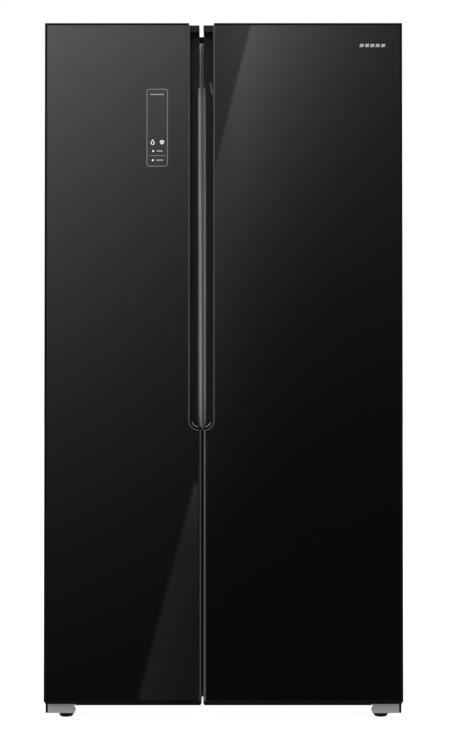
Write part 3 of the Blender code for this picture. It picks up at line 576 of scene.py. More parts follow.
for door in (FREEZER_SIDE, FRIDGE_SIDE):
    t = -door["sign"]
    outer = [(door["edge"] - t * STRIP, DOOR_TOP - 0.005)]
    inner = [(door["edge"] + t * STRIP, DOOR_TOP - 0.005)]
    for k in range(13):
        half = STRIP * (1 - 0.5 * k / 12)
        outer.append(corner_point(door, SLOT_RADIUS + half, k / 12))
        inner.append(corner_point(door, SLOT_RADIUS - half, k / 12))
    Form().rings(strip_between(outer, inner, 1.0)).place(
        door["zone"] + "_edge_strip", edge_metal, door["body"], "black_plastic", sharp=50)
    far, near = door["latch"] - t * 0.0070, door["latch"] - t * 0.0006
    middle = (far + near) / 2
    outer = [(middle, SLOT_BOTTOM + 0.0010), (far + t * 0.0012, SLOT_BOTTOM - 0.0008),
             (far, SLOT_BOTTOM - 0.0040), (far, GLASS_BOTTOM + 0.003)]
    inner = [(near, SLOT_BOTTOM + 0.0010), (near, SLOT_BOTTOM - 0.0008), (near, SLOT_BOTTOM - 0.0040),
             (near, GLASS_BOTTOM + 0.003)]
    # The fridge door's latch strip takes the lighter metal as a painted highlight; the freezer's takes
    # edge_metal.
    finish = latch_painted_highlight if door["zone"] == "fridge" else edge_metal
    Form().rings(strip_between(outer, inner, 0.35)).place(
        door["zone"] + "_latch_strip", finish, door["body"], "black_plastic", sharp=50)
print("edge strips are", STRIP * 2000, "mm wide")

# %% [markdown]
# ## The floor of the hand slot
# Fingers reach a dark moulded floor that curves up behind the slot's bottom corner, and a thin lip lies
# along it, coloured as a bright metal for a painted highlight. Both follow the same quarter circle as the
# strip, so one helper carries a small cross-section round the corner. Higher up, one slanted facet shows
# where the grip begins, in a lighter metal as a painted highlight.

# %% Floor, lip and facet
# Cross-section of the floor: (radius from the corner's centre, depth behind the glass).
FLOOR = [(0.0247, 0.0050), (0.0228, 0.0072), (0.0206, 0.0108), (0.0194, 0.0160), (0.0188, 0.0300),
         (0.0247, 0.0300)]
LIP_RADIUS, LIP_DEPTH, LIP_THICK = 0.0181, 0.0105, 0.0021
TURNS = 16


def round_corner(door, first, last, section_at):
    """Carry a cross-section round the corner, from one share of the turn to another."""
    sections = []
    for k in range(TURNS + 1):
        section = section_at(k / TURNS)
        points = [corner_point(door, radius, first + (last - first) * k / TURNS) for radius, depth in section]
        sections.append([(x, GLASS_Y + depth, z) for (x, z), (radius, depth) in zip(points, section)])
    return Form().rings(sections)


def lip_section(share):
    """A small octagon, thinner towards both ends of the lip."""
    thick = LIP_THICK * math.sin(math.pi * (0.08 + 0.84 * share)) ** 0.5
    turns = [math.radians(45 * n) for n in range(8)]
    return [(LIP_RADIUS + thick * math.cos(a), LIP_DEPTH + thick * math.sin(a)) for a in turns]


for door in (FREEZER_SIDE, FRIDGE_SIDE):
    round_corner(door, 0.04, 0.98, lambda share: FLOOR).place(
        door["zone"] + "_slot_floor", trim_plastic, door["body"], "black_plastic", sharp=50)
    # The lip's bright colour is a painted highlight.
    round_corner(door, 0.14, 0.90, lip_section).place(
        door["zone"] + "_slot_lip", lip_painted_highlight, door["body"], "black_plastic", sharp=60)
top = Vector((SPLIT + 0.0203, 0.0, 1.6235))
foot = Vector((SPLIT + 0.0256, 0.0, 1.5860))
facet = [(top.x - 0.0004, top.z), (top.x + 0.0016, top.z - 0.004), (foot.x + 0.0006, foot.z + 0.004),
         (foot.x, foot.z), (foot.x - 0.0030, foot.z + 0.006), (top.x - 0.0012, top.z - 0.008)]
# The facet's lighter metal is a painted highlight.
Form().prism(facet, "Y", GLASS_Y + 0.0045, GLASS_Y + 0.0070).place(
    "fridge_grip_facet", latch_painted_highlight, "fridge_door", "black_plastic", edge=0.0006)
print("slot floors and the grip facet are in place")

# %% [markdown]
# ## Door bodies
# Behind the glass the door is a moulded tray filled with foam. Its grip pocket reaches under the glass,
# so fingers find an undercut. A ribbed cap closes the tray at the top and a sill trims it at the bottom.

# %% Door bodies and caps
for door in (FREEZER_SIDE, FRIDGE_SIDE):
    softened(door["zone"] + "_door_body", black_plastic, edge=0.0010, segments=3)
    box_low, box_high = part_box(door["zone"] + "_door_body")
    inner_x = door["edge"] + door["sign"] * 0.02
    x0, x1 = sorted((door["sign"] * (HALF - 0.060), inner_x))
    cap = Form()
    for k in range(3):
        y = box_low.y + 0.009 + k * 0.010
        cap.box((x0, y, box_high.z - 0.0004), (x1, y + 0.003, box_high.z + 0.0011))
    cap.place(door["zone"] + "_cap_ribs", trim_plastic, door["body"], "black_plastic", edge=0.0004)
    start = door["sign"] * (HALF - 0.0785)
    x0, x1 = sorted((start, door["latch"] + door["sign"] * 0.0012))
    sill = [(x0, box_low.z + 0.0002), (x0 + 0.0016, box_low.z - 0.0036), (x1 - 0.0016, box_low.z - 0.0036),
            (x1, box_low.z + 0.0002)]
    ends = sorted((door["sign"] * (HALF - 0.0030), door["latch"] + door["sign"] * 0.0012))
    trim = Form().prism(sill, "Y", box_low.y + 0.0012, box_low.y + 0.030)
    trim.box((ends[0], GLASS_Y + 0.0022, box_low.z + 0.0003),
             (ends[1], box_low.y + 0.0012, GLASS_BOTTOM - 0.0003))
    trim.place(door["zone"] + "_door_sill", trim_plastic, door["body"], "black_plastic", edge=0.0005)
print("door bodies are", round(box_high.y - box_low.y, 3), "deep")

# %% [markdown]
# ## The strip between the doors
# Through the slot one sees the wall between the two compartments. It is a painted steel strip with a
# shallow bead along each side, and the beads catch the light as two bright lines; the right bead has a
# darker paint as painted shade. Between the beads lies a groove, painted darker as painted shade, and
# below the slot, where the doors nearly meet, the strip is covered in black as painted shade.

# %% Mullion strip
frame_low, frame_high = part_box("front_frame")
# Cross-section (x, height) of each bead, and how it changes with height above the floor:
# (height, shift to the side, width, how far it stands out).
LEFT_BEAD = [(-0.0060, 0.0), (-0.0052, 0.0010), (-0.0038, 0.0024), (-0.0014, 0.0030), (0.0012, 0.0024),
             (0.0028, 0.0010), (0.0036, 0.0)]
RIGHT_BEAD = [(-0.0036, 0.0), (-0.0028, 0.0012), (-0.0014, 0.0024), (0.0002, 0.0028), (0.0018, 0.0022),
              (0.0030, 0.0010), (0.0036, 0.0)]
LEFT_RUN = [(SLOT_BOTTOM, -0.0018, 0.55, 0.5), (SLOT_BOTTOM + 0.018, -0.0044, 0.75, 0.9),
            (SLOT_BOTTOM + 0.035, -0.0056, 0.85, 1.0), (1.20, -0.0068, 0.85, 1.0), (1.45, -0.0082, 0.80, 1.0),
            (frame_high.z - 0.001, -0.0086, 0.90, 1.0)]
RIGHT_RUN = [(SLOT_BOTTOM + 0.012, 0.0054, 0.5, 0.2), (SLOT_BOTTOM + 0.025, 0.0058, 0.9, 0.8),
             (1.10, 0.0056, 1.0, 0.9), (1.35, 0.0050, 0.7, 0.45), (frame_high.z - 0.001, 0.0042, 0.3, 0.2)]
# The left bead takes the frame's own paint; the right bead takes the darker paint as painted shade.
for side, bead, run, paint in (("left", LEFT_BEAD, LEFT_RUN, frame_paint),
                               ("right", RIGHT_BEAD, RIGHT_RUN, painted_shade_bead)):
    Form().rings([[(SPLIT + shift + x * wide, frame_low.y - 0.0001 - out * proud, z) for x, out in bead]
                  for z, shift, wide, proud in run]).place(
        "mullion_bead_" + side, paint, "cabinet", "frame_steel", sharp=60)
# The groove plate stands only 0.4 mm proud; its dark paint is painted shade, not a deep recess.
groove = [(SPLIT - 0.0158, frame_low.y), (SPLIT - 0.0150, frame_low.y - 0.0004),
          (SPLIT + 0.0104, frame_low.y - 0.0004), (SPLIT + 0.0112, frame_low.y)]
Form().prism(groove, "Z", SLOT_BOTTOM - 0.004, frame_high.z - 0.001).place(
    "mullion_painted_shade_plate", painted_shade_groove, "cabinet", "frame_steel", sharp=60)
# Below the slot a black strip covers the mullion as painted shade.
Form().prism(groove, "Z", frame_low.z + 0.0005, SLOT_BOTTOM - 0.0045).place(
    "mullion_painted_shade_foot", trim_plastic, "cabinet", "black_plastic", sharp=60)
refinish(frame_paint, "front_frame")
softened("top_front_trim", trim_plastic, edge=0.0012, segments=3)
print("mullion beads are", round(frame_high.z - frame_low.z - 0.051, 3), "tall")

# %% [markdown]
# ## The touch panel
# Controls sit behind the freezer door's glass. From outside they are a printed frame with a few marks, so
# each mark is a very thin raised shape with its own ink, which glows a little as a painted glow. The marks
# here are plain signs: a drop, a cube of ice, dots and bars.

# %% Touch panel
panel_low, panel_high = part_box("touch_panel")
PANEL_FACE = panel_low.y


def rounded(x0, z0, x1, z1, radius, steps=6):
    """A rectangle with round corners, anticlockwise."""
    corners = ((x1 - radius, z1 - radius, 0), (x0 + radius, z1 - radius, 90),
               (x0 + radius, z0 + radius, 180), (x1 - radius, z0 + radius, 270))
    points = []
    for x, z, start in corners:
        points += arc((x, z), radius, start, start + 90, steps)
    return points


def ring_between(form, outside, inside, y0, y1):
    """A flat ring between two outlines with the same number of points."""
    rings = [[Vector((x, y, z)) for x, z in line]
             for line, y in ((outside, y0), (outside, y1), (inside, y1), (inside, y0))]
    return form.rings(rings, closed=True)


sheet_outline = rounded(panel_low.x + 0.0006, panel_low.z + 0.0006, panel_high.x - 0.0006,
                        panel_high.z - 0.0006, 0.0065)
Form().prism(sheet_outline, "Y", PANEL_FACE + 0.0003, PANEL_FACE + 0.0008).place(
    "touch_window", panel_glass, "freezer_door", "panel_glass", ["touch_panel"])
LINE, CORNER = 0.0022, 0.007
frame_right, frame_top = panel_high.x - 0.0016, panel_high.z - 0.0016
outside = rounded(panel_low.x, panel_low.z, frame_right, frame_top, CORNER)
inside = rounded(panel_low.x + LINE, panel_low.z + LINE, frame_right - LINE, frame_top - LINE, CORNER - LINE)
ring_between(Form(), outside, inside, PANEL_FACE + 0.0001, PANEL_FACE + 0.0008).place(
    "touch_outline", line_painted_glow_ink, "freezer_door", "panel_glass")
print("touch panel is", round(panel_high.x - panel_low.x, 3), "by", round(panel_high.z - panel_low.z, 3))

# %% Marks on the panel
INK = (PANEL_FACE + 0.00015, PANEL_FACE + 0.0005)
left, top = panel_low.x, panel_high.z - 0.0009


def bar(form, x0, x1, z, thick):
    outline = rounded(left + x0, top - z - thick / 2, left + x1, top - z + thick / 2, thick * 0.45, 3)
    return form.prism(outline, "Y", *INK)


def dot(form, x, z, radius):
    return form.prism(arc((left + x, top - z), radius, 0, 345, 23), "Y", *INK)


icons = Form()
FACE_SHARE = 0.74       # how much of a cube's face is inked
drop = [(0.0, 0.0075)] + arc((0.0, -0.0022), 0.0048, 30, -210, 18)
hollow = [(0.0, 0.0046)] + arc((0.0, -0.0022), 0.0030, 30, -210, 18)
drop_at = (left + 0.0157, top - 0.1367)
ring_between(icons, [(drop_at[0] + x, drop_at[1] + z) for x, z in drop],
             [(drop_at[0] + x, drop_at[1] + z) for x, z in hollow], *INK)
cube_at = (left + 0.0393, top - 0.1367)
for turn in (30, 150, 270):
    one = arc(cube_at, 0.0068, turn, turn, 1)[0]
    two = arc(cube_at, 0.0068, turn + 60, turn + 60, 1)[0]
    three = arc(cube_at, 0.0068, turn - 60, turn - 60, 1)[0]
    ring = [cube_at, two, one, three]
    middle = (sum(p[0] for p in ring) / 4, sum(p[1] for p in ring) / 4)
    face = [(middle[0] + (x - middle[0]) * FACE_SHARE, middle[1] + (z - middle[1]) * FACE_SHARE)
            for x, z in ring]
    icons.prism(face, "Y", *INK)

dot(icons, 0.0172, 0.1594, 0.0024)
dot(icons, 0.0160, 0.1830, 0.0024)
icons.place("touch_icons", icon_painted_glow_ink, "freezer_door", "panel_glass")

marks = Form()
bar(marks, 0.0088, 0.0448, 0.0152, 0.0024)
bar(marks, 0.0252, 0.0412, 0.1594, 0.0030)
bar(marks, 0.0240, 0.0430, 0.1827, 0.0030)
bar(marks, 0.0060, 0.0500, 0.1710, 0.0008)
marks.place("touch_marks", mark_painted_glow_ink, "freezer_door", "panel_glass")
print("panel marks are drawn")

# %% [markdown]
# ## The badge
# A small metal badge sits high on the fridge door. Five slanted satin tiles on a dark carrier give it
# rhythm without any lettering.

# %% Badge tiles
badge_low, badge_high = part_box("badge")
carrier = Form().prism(rounded(badge_low.x, badge_low.z + 0.001, badge_high.x, badge_high.z - 0.001, 0.004),
                       "Y", badge_low.y + 0.00035, badge_high.y)
carrier.place("badge_carrier", panel_glass, "fridge_door", "badge_metal", ["badge"])
tiles = Form()
pitch = (badge_high.x - badge_low.x - 0.006) / 5
for k in range(5):
    x = badge_low.x + 0.003 + k * pitch
    tiles.prism([(x, badge_low.z + 0.003), (x + pitch * 0.70, badge_low.z + 0.003),
                 (x + pitch * 0.86, badge_high.z - 0.003), (x + pitch * 0.16, badge_high.z - 0.003)],
                "Y", badge_low.y, badge_low.y + 0.0004)
tiles.place("badge_tiles", badge_metal, "fridge_door", "badge_metal")
print("badge has 5 tiles, each", round(pitch * 1000, 1), "mm apart")

# %% [markdown]
# ## Feet and lower brackets
# The lower hinge brackets are pressed steel, painted grey, and show under the doors. Each holds a
# screw foot with a tapered rubber pad. The foot's pad is ribbed at the side so that fingers can turn it.

# %% Brackets and feet
for side, sign in (("left", -1), ("right", 1)):
    softened("foot_bracket_" + side, bracket_paint, edge=0.0010, segments=3)
    low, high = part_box("foot_bracket_" + side)
    x0, x1 = sorted((sign * (HALF - 0.0081), sign * (HALF - 0.0025)))
    guard = Form().prism(rounded(low.y - 0.0012, low.z, low.y + 0.030, high.z - 0.0072, 0.004), "X", x0, x1)
    guard.place("bracket_guard_" + side, trim_plastic, "cabinet", "black_plastic", edge=0.0010)
    inner = sign * (HALF - 0.0765)
    nut = [(0, -0.0030), (0.0036, -0.0030), (0.0048, -0.0018), (0.0048, 0.0010), (0, 0.0010)]
    Form().turned([(r, -sign * d) for r, d in nut], "X", (inner, low.y + 0.006, low.z + 0.0085), 24).place(
        "bracket_nut_" + side, trim_plastic, "cabinet", "black_plastic", sharp=40)
    foot_low, foot_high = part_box("levelling_foot_" + side)
    centre = ((foot_low.x + foot_high.x) / 2, (foot_low.y + foot_high.y) / 2, 0.0)
    pad = [(0, 0.0008), (0.0130, 0.0008), (0.0136, 0.0), (0.0152, 0.0), (0.0162, 0.0010), (0.0184, 0.0048),
           (0.0194, 0.0086), (0.0194, 0.0140), (0.0186, 0.0149), (0.0088, 0.0149), (0.0086, 0.0206),
           (0.0050, 0.0209), (0.0049, foot_high.z - 0.0004), (0.0042, foot_high.z), (0, foot_high.z)]
    foot = Form().turned(pad, "Z", centre, 48)
    for k in range(16):
        turn = 2 * math.pi * k / 16
        x, y = centre[0] + 0.0182 * math.cos(turn), centre[1] + 0.0182 * math.sin(turn)
        foot.box((x - 0.0011, y - 0.0011, 0.0116), (x + 0.0011, y + 0.0011, 0.0138))
    foot.place("screw_foot_" + side, foot_rubber, nodes["levelling_foot_" + side]["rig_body"], "foot_rubber",
               ["levelling_foot_" + side], sharp=40)
print("feet are", round((foot_high.x - foot_low.x) * 1000), "mm across")

# %% [markdown]
# ## Cabinet skin
# The sides and top are one folded sheet of painted steel, and the back is a plain galvanised sheet. A
# flat sheet this large would drum, so the press puts shallow ribs into the back. Screws hold the
# back and the compressor cover.


# %% Screw heads
SCREW_RADIUS = 0.0042


def screws(name, places, plane):
    """Pan heads with a round recess, all in one mesh."""
    dome = [(SCREW_RADIUS, 0.0), (SCREW_RADIUS, 0.0006), (SCREW_RADIUS * 0.8, 0.0013),
            (SCREW_RADIUS * 0.42, 0.0016)]
    recess = [(SCREW_RADIUS * 0.36, 0.0008), (0, 0.0007)]
    form = Form()
    for place in places:
        form.turned(dome + recess, plane, place, 16)
    return form.place(name, bright_steel, "cabinet", "zinc_steel", sharp=30)


for side in ("left", "right"):
    softened("side_panel_" + side, cabinet_paint, edge=0.0003)
softened("top_panel", cabinet_paint, edge=0.0003)
for side in ("left", "right"):
    softened("hinge_cover_" + side, black_plastic, edge=0.0016, segments=4)
    softened("hinge_bracket_" + side, zinc_steel, edge=0.0004)
    low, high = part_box("hinge_cover_" + side)
    middle = ((low.x + high.x) / 2, high.y - 0.025, high.z - 0.0016)
    screws("hinge_cover_screw_" + side, [middle], "Z")
print("skin and hinge covers are rounded")

# %% Ribbed back
back_low, back_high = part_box("rear_panel")
width, tall = back_high.x - back_low.x, back_high.z - back_low.z


mid_z = (back_low.z + back_high.z) / 2
FRAME_HALF_WIDE, FRAME_HALF_TALL, MIDDLE_HALF_TALL = 0.33, 0.60, 0.50
RIB_HALF_WIDE, RIB_HEIGHT = 0.017, 0.0060


def rib_height(x, z):
    """Height of the pressed ribs at a point: one frame and a middle rib."""
    up = abs(z - mid_z)
    ring = abs(max(abs(x) - FRAME_HALF_WIDE, up - FRAME_HALF_TALL))
    profile = max(0.0, 1 - (ring / RIB_HALF_WIDE) ** 2)
    middle = max(0.0, 1 - (abs(x) / RIB_HALF_WIDE) ** 2) if up < MIDDLE_HALF_TALL else 0.0
    return RIB_HEIGHT * max(profile, middle) ** 0.6


def spread(low, high, marks, step):
    """Grid lines: even steps, and closer ones around each mark."""
    lines = {low, high}
    count = int((high - low) / step)
    lines.update(low + (high - low) * k / count for k in range(count + 1))
    for mark in marks:
        lines.update(mark + d * 0.0035 for d in range(-5, 6))
    return sorted(v for v in lines if low <= v <= high)


xs = spread(back_low.x, back_high.x, (-FRAME_HALF_WIDE, 0.0, FRAME_HALF_WIDE), 0.05)
zs = spread(back_low.z, back_high.z, [mid_z + side * reach for side in (-1, 1)
                                      for reach in (FRAME_HALF_TALL, MIDDLE_HALF_TALL)], 0.06)
sheet = bmesh.new()
grid = [[sheet.verts.new((x, back_high.y - 0.0001 + rib_height(x, z), z)) for x in xs] for z in zs]
for i in range(len(zs) - 1):
    for j in range(len(xs) - 1):
        sheet.faces.new((grid[i][j], grid[i][j + 1], grid[i + 1][j + 1], grid[i + 1][j]))
bmesh.ops.recalc_face_normals(sheet, faces=sheet.faces)
if sum(face.normal.y for face in sheet.faces) < 0:
    bmesh.ops.reverse_faces(sheet, faces=sheet.faces)
data = bpy.data.meshes.new("ribbed_back")
sheet.to_mesh(data)
sheet.free()
back = dress("ribbed_back", data, zinc_steel, "cabinet", ["rear_panel"], 0, 0, 60)
thick = back.modifiers.new("sheet", "SOLIDIFY")
thick.thickness, thick.offset = 0.0008, -1
edge_x, edge_z = width / 2 - 0.018, tall / 2 - 0.018
places = [(side * edge_x, back_high.y, mid_z + k * edge_z / 3) for side in (-1, 1) for k in range(-3, 4)]
places += [(x, back_high.y, back_high.z - 0.018) for x in (-0.22, 0.22)]
screws("back_screws", places, "Y")
print("back has", len(xs) * len(zs), "grid points and", len(places), "screws")

# %% [markdown]
# ## Machine compartment
# A moulded cover with louvres closes the compartment at the back. Behind it sit the compressor, the
# condenser with its fan and the drip pan. The refrigerant runs in copper tube, bent on a former, which a
# tube swept along a rounded path shows well.

# %% Cover, gland and compressor
softened("rear_cover", black_plastic, edge=0.0006)
refinish(trim_plastic, "cord_gland", "condenser_fan_motor", "evaporator_fan_motor")
cover_low, cover_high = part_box("rear_cover")
rows = (cover_low.z + 0.014, cover_high.z - 0.010)
screws("cover_screws", [(x, cover_high.y - 0.0017, z) for x in (-0.435, 0.0, 0.435) for z in rows], "Y")
softened("compressor", compressor_paint, edge=0.0008)
softened("drip_pan", black_plastic, edge=0.0008)
softened("base_plate", zinc_steel, edge=0.0005)
refinish(foam, "insulation")
print("compartment is", round(cover_high.z - cover_low.z, 3), "tall")

# %% Tubes and welds
can_low, can_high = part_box("compressor")
can = Vector(((can_low.x + can_high.x) / 2, (can_low.y + can_high.y) / 2, 0))


def bent(points, radius):
    """A path with its corners rounded in seven short steps, ready for a tube."""
    points = [Vector(p) for p in points]
    path = [points[0]]
    for before, here, after in zip(points, points[1:], points[2:]):
        reach = min(radius, (before - here).length / 2.1, (after - here).length / 2.1)
        a, b = here + (before - here).normalized() * reach, here + (after - here).normalized() * reach
        path += [a.lerp(here, t).lerp(here.lerp(b, t), t) for t in [k / 6 for k in range(7)]]
    return path + [points[-1]]


coil_low, coil_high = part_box("condenser")
z = can_low.z
tubes = Form()
tubes.tube(bent([(can.x - 0.056, can.y + 0.02, z + 0.060), (can.x - 0.085, can.y + 0.02, z + 0.060),
                 (can.x - 0.085, can.y + 0.045, z + 0.115), (-0.02, can.y + 0.048, z + 0.128),
                 (coil_high.x + 0.012, can.y + 0.048, z + 0.120),
                 (coil_high.x + 0.012, coil_high.y - 0.03, z + 0.09),
                 (coil_high.x - 0.002, coil_high.y - 0.03, z + 0.09)], 0.018), 0.0032)
tubes.tube(bent([(can.x + 0.045, can.y + 0.035, z + 0.070), (can.x + 0.062, can.y + 0.052, z + 0.070),
                 (can.x + 0.062, can.y + 0.062, z + 0.150), (can.x - 0.02, can.y + 0.066, z + 0.156)], 0.015),
           0.0040)
tubes.place("copper_tubes", copper, "cabinet", "alloy", sharp=60)
seam = [(0.0600, 0.0), (0.0624, 0.0004), (0.0628, 0.0016), (0.0624, 0.0028), (0.0600, 0.0032)]
weld = Form().turned(seam, "Z", (can.x, can.y, can_low.z + 0.082), 48)
lid = Form().box((can.x + 0.050, can.y - 0.022, can_low.z + 0.045),
                 (can.x + 0.078, can.y + 0.022, can_low.z + 0.100))
weld.place("compressor_weld", compressor_paint, "cabinet", "compressor_paint", sharp=60)
lid.place("compressor_relay", black_plastic, "cabinet", "black_plastic", edge=0.004, segments=4)
print("tubes and compressor fittings are in place")

# %% [markdown]
# ## Fins, fans and rollers
# A heat exchanger is a stack of thin fins on tubes that run back and forth. The model's comb stays as
# the fin block, and U bends at its ends show the tubes. A fan blade is twisted, steeper at the
# hub than at the tip, so each is built as a small grid whose pitch changes with the radius.

# %% Heat exchangers
refinish(alloy, "evaporator", "condenser")


def serpentine(box_low, box_high, rows, y, radius):
    """Tubes through a fin block, joined by U bends at both ends."""
    form = Form()
    gap = (box_high.z - box_low.z) / rows
    path, side = [], 1
    for k in range(rows):
        height = box_low.z + (k + 0.5) * gap
        ends = (box_low.x - 0.004, box_high.x + 0.004)[::side]
        path += [(ends[0], y, height), (ends[1], y, height)]
        side = -side
    return form.tube(bent(path, gap * 0.48), radius)


fin_low, fin_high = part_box("evaporator")
for name, block, rows, y in (("evaporator", (fin_low, fin_high), 8, fin_high.y - 0.006),
                             ("condenser", (coil_low, coil_high), 5, coil_high.y + 0.006)):
    serpentine(*block, rows, y, 0.0030).place(name + "_tubes", copper, "cabinet", "alloy", sharp=60)
print("serpentines have 8 and 5 rows")


# %% Fans
def impeller(node, plane, direction):
    """Five twisted blades with a rounded hub, in the space of the model's fan."""
    low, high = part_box(node)
    middle = (low + high) / 2
    first, second, along = PLANES[plane]
    tip = (high[first] - low[first]) / 2 * 0.985
    base, depth = low[along], high[along] - low[along]
    form = Form()
    for blade in range(5):
        start = 2 * math.pi * blade / 5
        rings = []
        for r in range(7):
            radius = tip * (0.27 + 0.73 * r / 6)
            ring = []
            for side in (0, 1):
                row = []
                for c in range(6):
                    share = c / 5
                    turn = start + 0.10 * r / 6 + (0.62 + 0.22 * r / 6) * share
                    rise = depth * (0.16 + (0.66 - 0.30 * r / 6) * share) + (0.0016 if side else 0.0)
                    centre = [middle[0], middle[1], middle[2]]
                    centre[first] += radius * math.cos(turn)
                    centre[second] += radius * math.sin(turn)
                    centre[along] = base + (rise if direction > 0 else depth - rise)
                    row.append(Vector(centre))
                ring += row if side == 0 else row[::-1]
            rings.append(ring)
        form.rings(rings)
    centre = [middle[0], middle[1], middle[2]]
    centre[along] = base
    hub = [(0, 0.001), (tip * 0.22, 0.001), (tip * 0.29, 0.0035), (tip * 0.30, depth - 0.001),
           (tip * 0.26, depth - 0.0002), (0.0037, depth - 0.0002), (0.0037, 0.0055), (0, 0.0055)]
    form.turned(hub, plane, centre, 32)
    form.place(node + "_blades", trim_plastic, nodes[node]["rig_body"], "black_plastic", [node], sharp=40)


impeller("evaporator_fan", "Y", 1)
impeller("condenser_fan", "X", 1)
for side in ("left", "right"):
    softened("rear_roller_" + side, foot_rubber, edge=0.0005)
print("fans and rollers turn with their joints")

# %% [markdown]
# ## Door insides
# The inner face of each door is a vacuum-formed white liner with a raised rib frame. A soft magnetic seal
# runs round it in a groove: its section is a bellows, which folds as the door closes. The bins hang
# between the ribs and are moulded clear, with a thick rolled rim.

# %% Liners and seals
for zone in ("freezer", "fridge"):
    softened(zone + "_door_liner", white_plastic, edge=0.0040, segments=4)
    softened(zone + "_liner", white_plastic, edge=0.0009, segments=3)
BELLOWS = [(0.0002, 0.0), (0.0108, 0.0), (0.0108, 0.0022), (0.0084, 0.0030), (0.0084, 0.0042),
           (0.0106, 0.0054), (0.0106, 0.0072), (0.0084, 0.0082), (0.0084, 0.0090), (0.0104, 0.0098),
           (0.0104, 0.0116), (0.0006, 0.0116), (0.0006, 0.0098), (0.0026, 0.0090), (0.0026, 0.0082),
           (0.0004, 0.0072), (0.0004, 0.0054), (0.0026, 0.0042), (0.0026, 0.0030), (0.0002, 0.0022)]
for zone in ("freezer", "fridge"):
    low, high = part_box(zone + "_door_gasket")
    scale = (high.y - low.y) / 0.0118
    corners = ((low.x, low.z, 1, 1), (high.x, low.z, -1, 1), (high.x, high.z, -1, -1), (low.x, high.z, 1, -1))
    rings = [[Vector((x + dx * u, low.y + v * scale, z + dz * u)) for u, v in BELLOWS]
             for x, z, dx, dz in corners]
    Form().rings(rings, closed=True).place(zone + "_door_seal", rubber, zone + "_door", "gasket",
                                           [zone + "_door_gasket"], sharp=50)
for door in (FREEZER_SIDE, FRIDGE_SIDE):
    sign, zone = door["sign"], door["zone"]
    body_low, body_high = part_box(zone + "_door_body")
    liner_low, liner_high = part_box(zone + "_door_liner")
    near = door["latch"] + sign * 0.030
    rows = [(sign * (HALF - 0.0040), body_high.z), (sign * (HALF - 0.0057), liner_high.z + 0.0004),
            (sign * (HALF - 0.0057), liner_low.z - 0.0004), (sign * (HALF - 0.0040), body_low.z)]
    outline = [(near, rows[0][1]), rows[0], rows[3], (near, rows[3][1]),
               (near, rows[2][1]), rows[2], rows[1], (near, rows[1][1])]
    Form().prism(outline, "Y", body_high.y + 0.0001, body_high.y + 0.0146).place(
        zone + "_door_wrap", black_plastic, door["body"], "black_plastic", edge=0.0004)
print("seals are", round((high.y - low.y) * 1000, 1), "mm thick")

# %% Bins and drawers
BIN_HEIGHT, BINS = 0.105, 4
PULL_HALF = 0.058       # half the width of the dip in a drawer's front edge
for zone in ("freezer", "fridge"):
    softened(zone + "_door_bins", clear_plastic, edge=0.0009, segments=3)
    low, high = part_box(zone + "_door_bins")
    rims = Form()
    pitch = (high.z - low.z - BIN_HEIGHT) / (BINS - 1)
    for k in range(BINS):
        z = low.z + k * pitch + BIN_HEIGHT
        path = [(low.x + 0.004, low.y + 0.02), (low.x + 0.0015, high.y - 0.008),
                (low.x + 0.008, high.y - 0.0015), (high.x - 0.008, high.y - 0.0015),
                (high.x - 0.0015, high.y - 0.008), (high.x - 0.004, low.y + 0.02)]
        rims.tube(bent([(x, y, z) for x, y in path], 0.008), 0.0014, 8)
    rims.place(zone + "_bin_rims", white_plastic, zone + "_door", "white_plastic", sharp=60)
softened("dairy_lid", clear_plastic, edge=0.0007)
for name in ("freezer_drawer_lower", "freezer_drawer_upper", "crisper_drawer_lower", "crisper_drawer_upper"):
    softened(name, clear_plastic, edge=0.0010, segments=3)
    low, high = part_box(name)
    middle = (low.x + high.x) / 2
    front, rear, edge, dip = low.y + 0.0016, high.y - 0.004, high.z - 0.0014, high.z - 0.0225
    lip = Form()
    lip.tube(bent([(low.x + 0.003, rear, edge), (low.x + 0.003, front, edge),
                   (middle - PULL_HALF - 0.004, front, edge), (middle - PULL_HALF, front, dip),
                   (middle + PULL_HALF, front, dip), (middle + PULL_HALF + 0.004, front, edge),
                   (high.x - 0.003, front, edge), (high.x - 0.003, rear, edge)], 0.006), 0.0014, 8)
    lip.place(name + "_lip", grey_plastic, nodes[name]["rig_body"], "clear_plastic", sharp=60)
print("bins and drawers have rolled rims")

# %% [markdown]
# ## Shelves and lights
# The shelves are plates of toughened glass, green at the cut edge, in a white frame. A moulded trim at
# the front stops spills. The lamp is a milky cover over small LEDs.

# %% Shelves, lamp and duct
for name in ("freezer_shelf_lower", "freezer_shelf_middle", "freezer_shelf_upper", "fridge_shelf_divider",
             "crisper_cover", "fridge_shelf_lower", "fridge_shelf_upper"):
    softened(name, shelf_glass, edge=0.0005)
    low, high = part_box(name)
    trim = Form().box((low.x + 0.0006, low.y - 0.0012, low.z - 0.0002),
                      (high.x - 0.0006, low.y + 0.0018, low.z + 0.0078))
    for x in (low.x + 0.0006, high.x - 0.0036):
        trim.box((x, low.y + 0.016, low.z + 0.0034), (x + 0.0030, high.y - 0.001, low.z + 0.0062))
    trim.place(name + "_trim", white_plastic, "cabinet", "white_plastic", edge=0.0008, segments=3)
softened("fridge_light", lamp_cover, edge=0.0030, segments=4)
softened("fridge_air_duct", white_plastic, edge=0.0024, segments=3)
softened("evaporator_cover", white_plastic, edge=0.0006)
softened("humidity_slider", grey_plastic, edge=0.0010, segments=3)
print("shelves, lamp and duct are finished")

# %% [markdown]
# ## The ice maker
# The ice tray turns in a frame to drop its cubes. Its knob is ribbed for grip, and
# the tray is a flexible, faintly blue plastic.

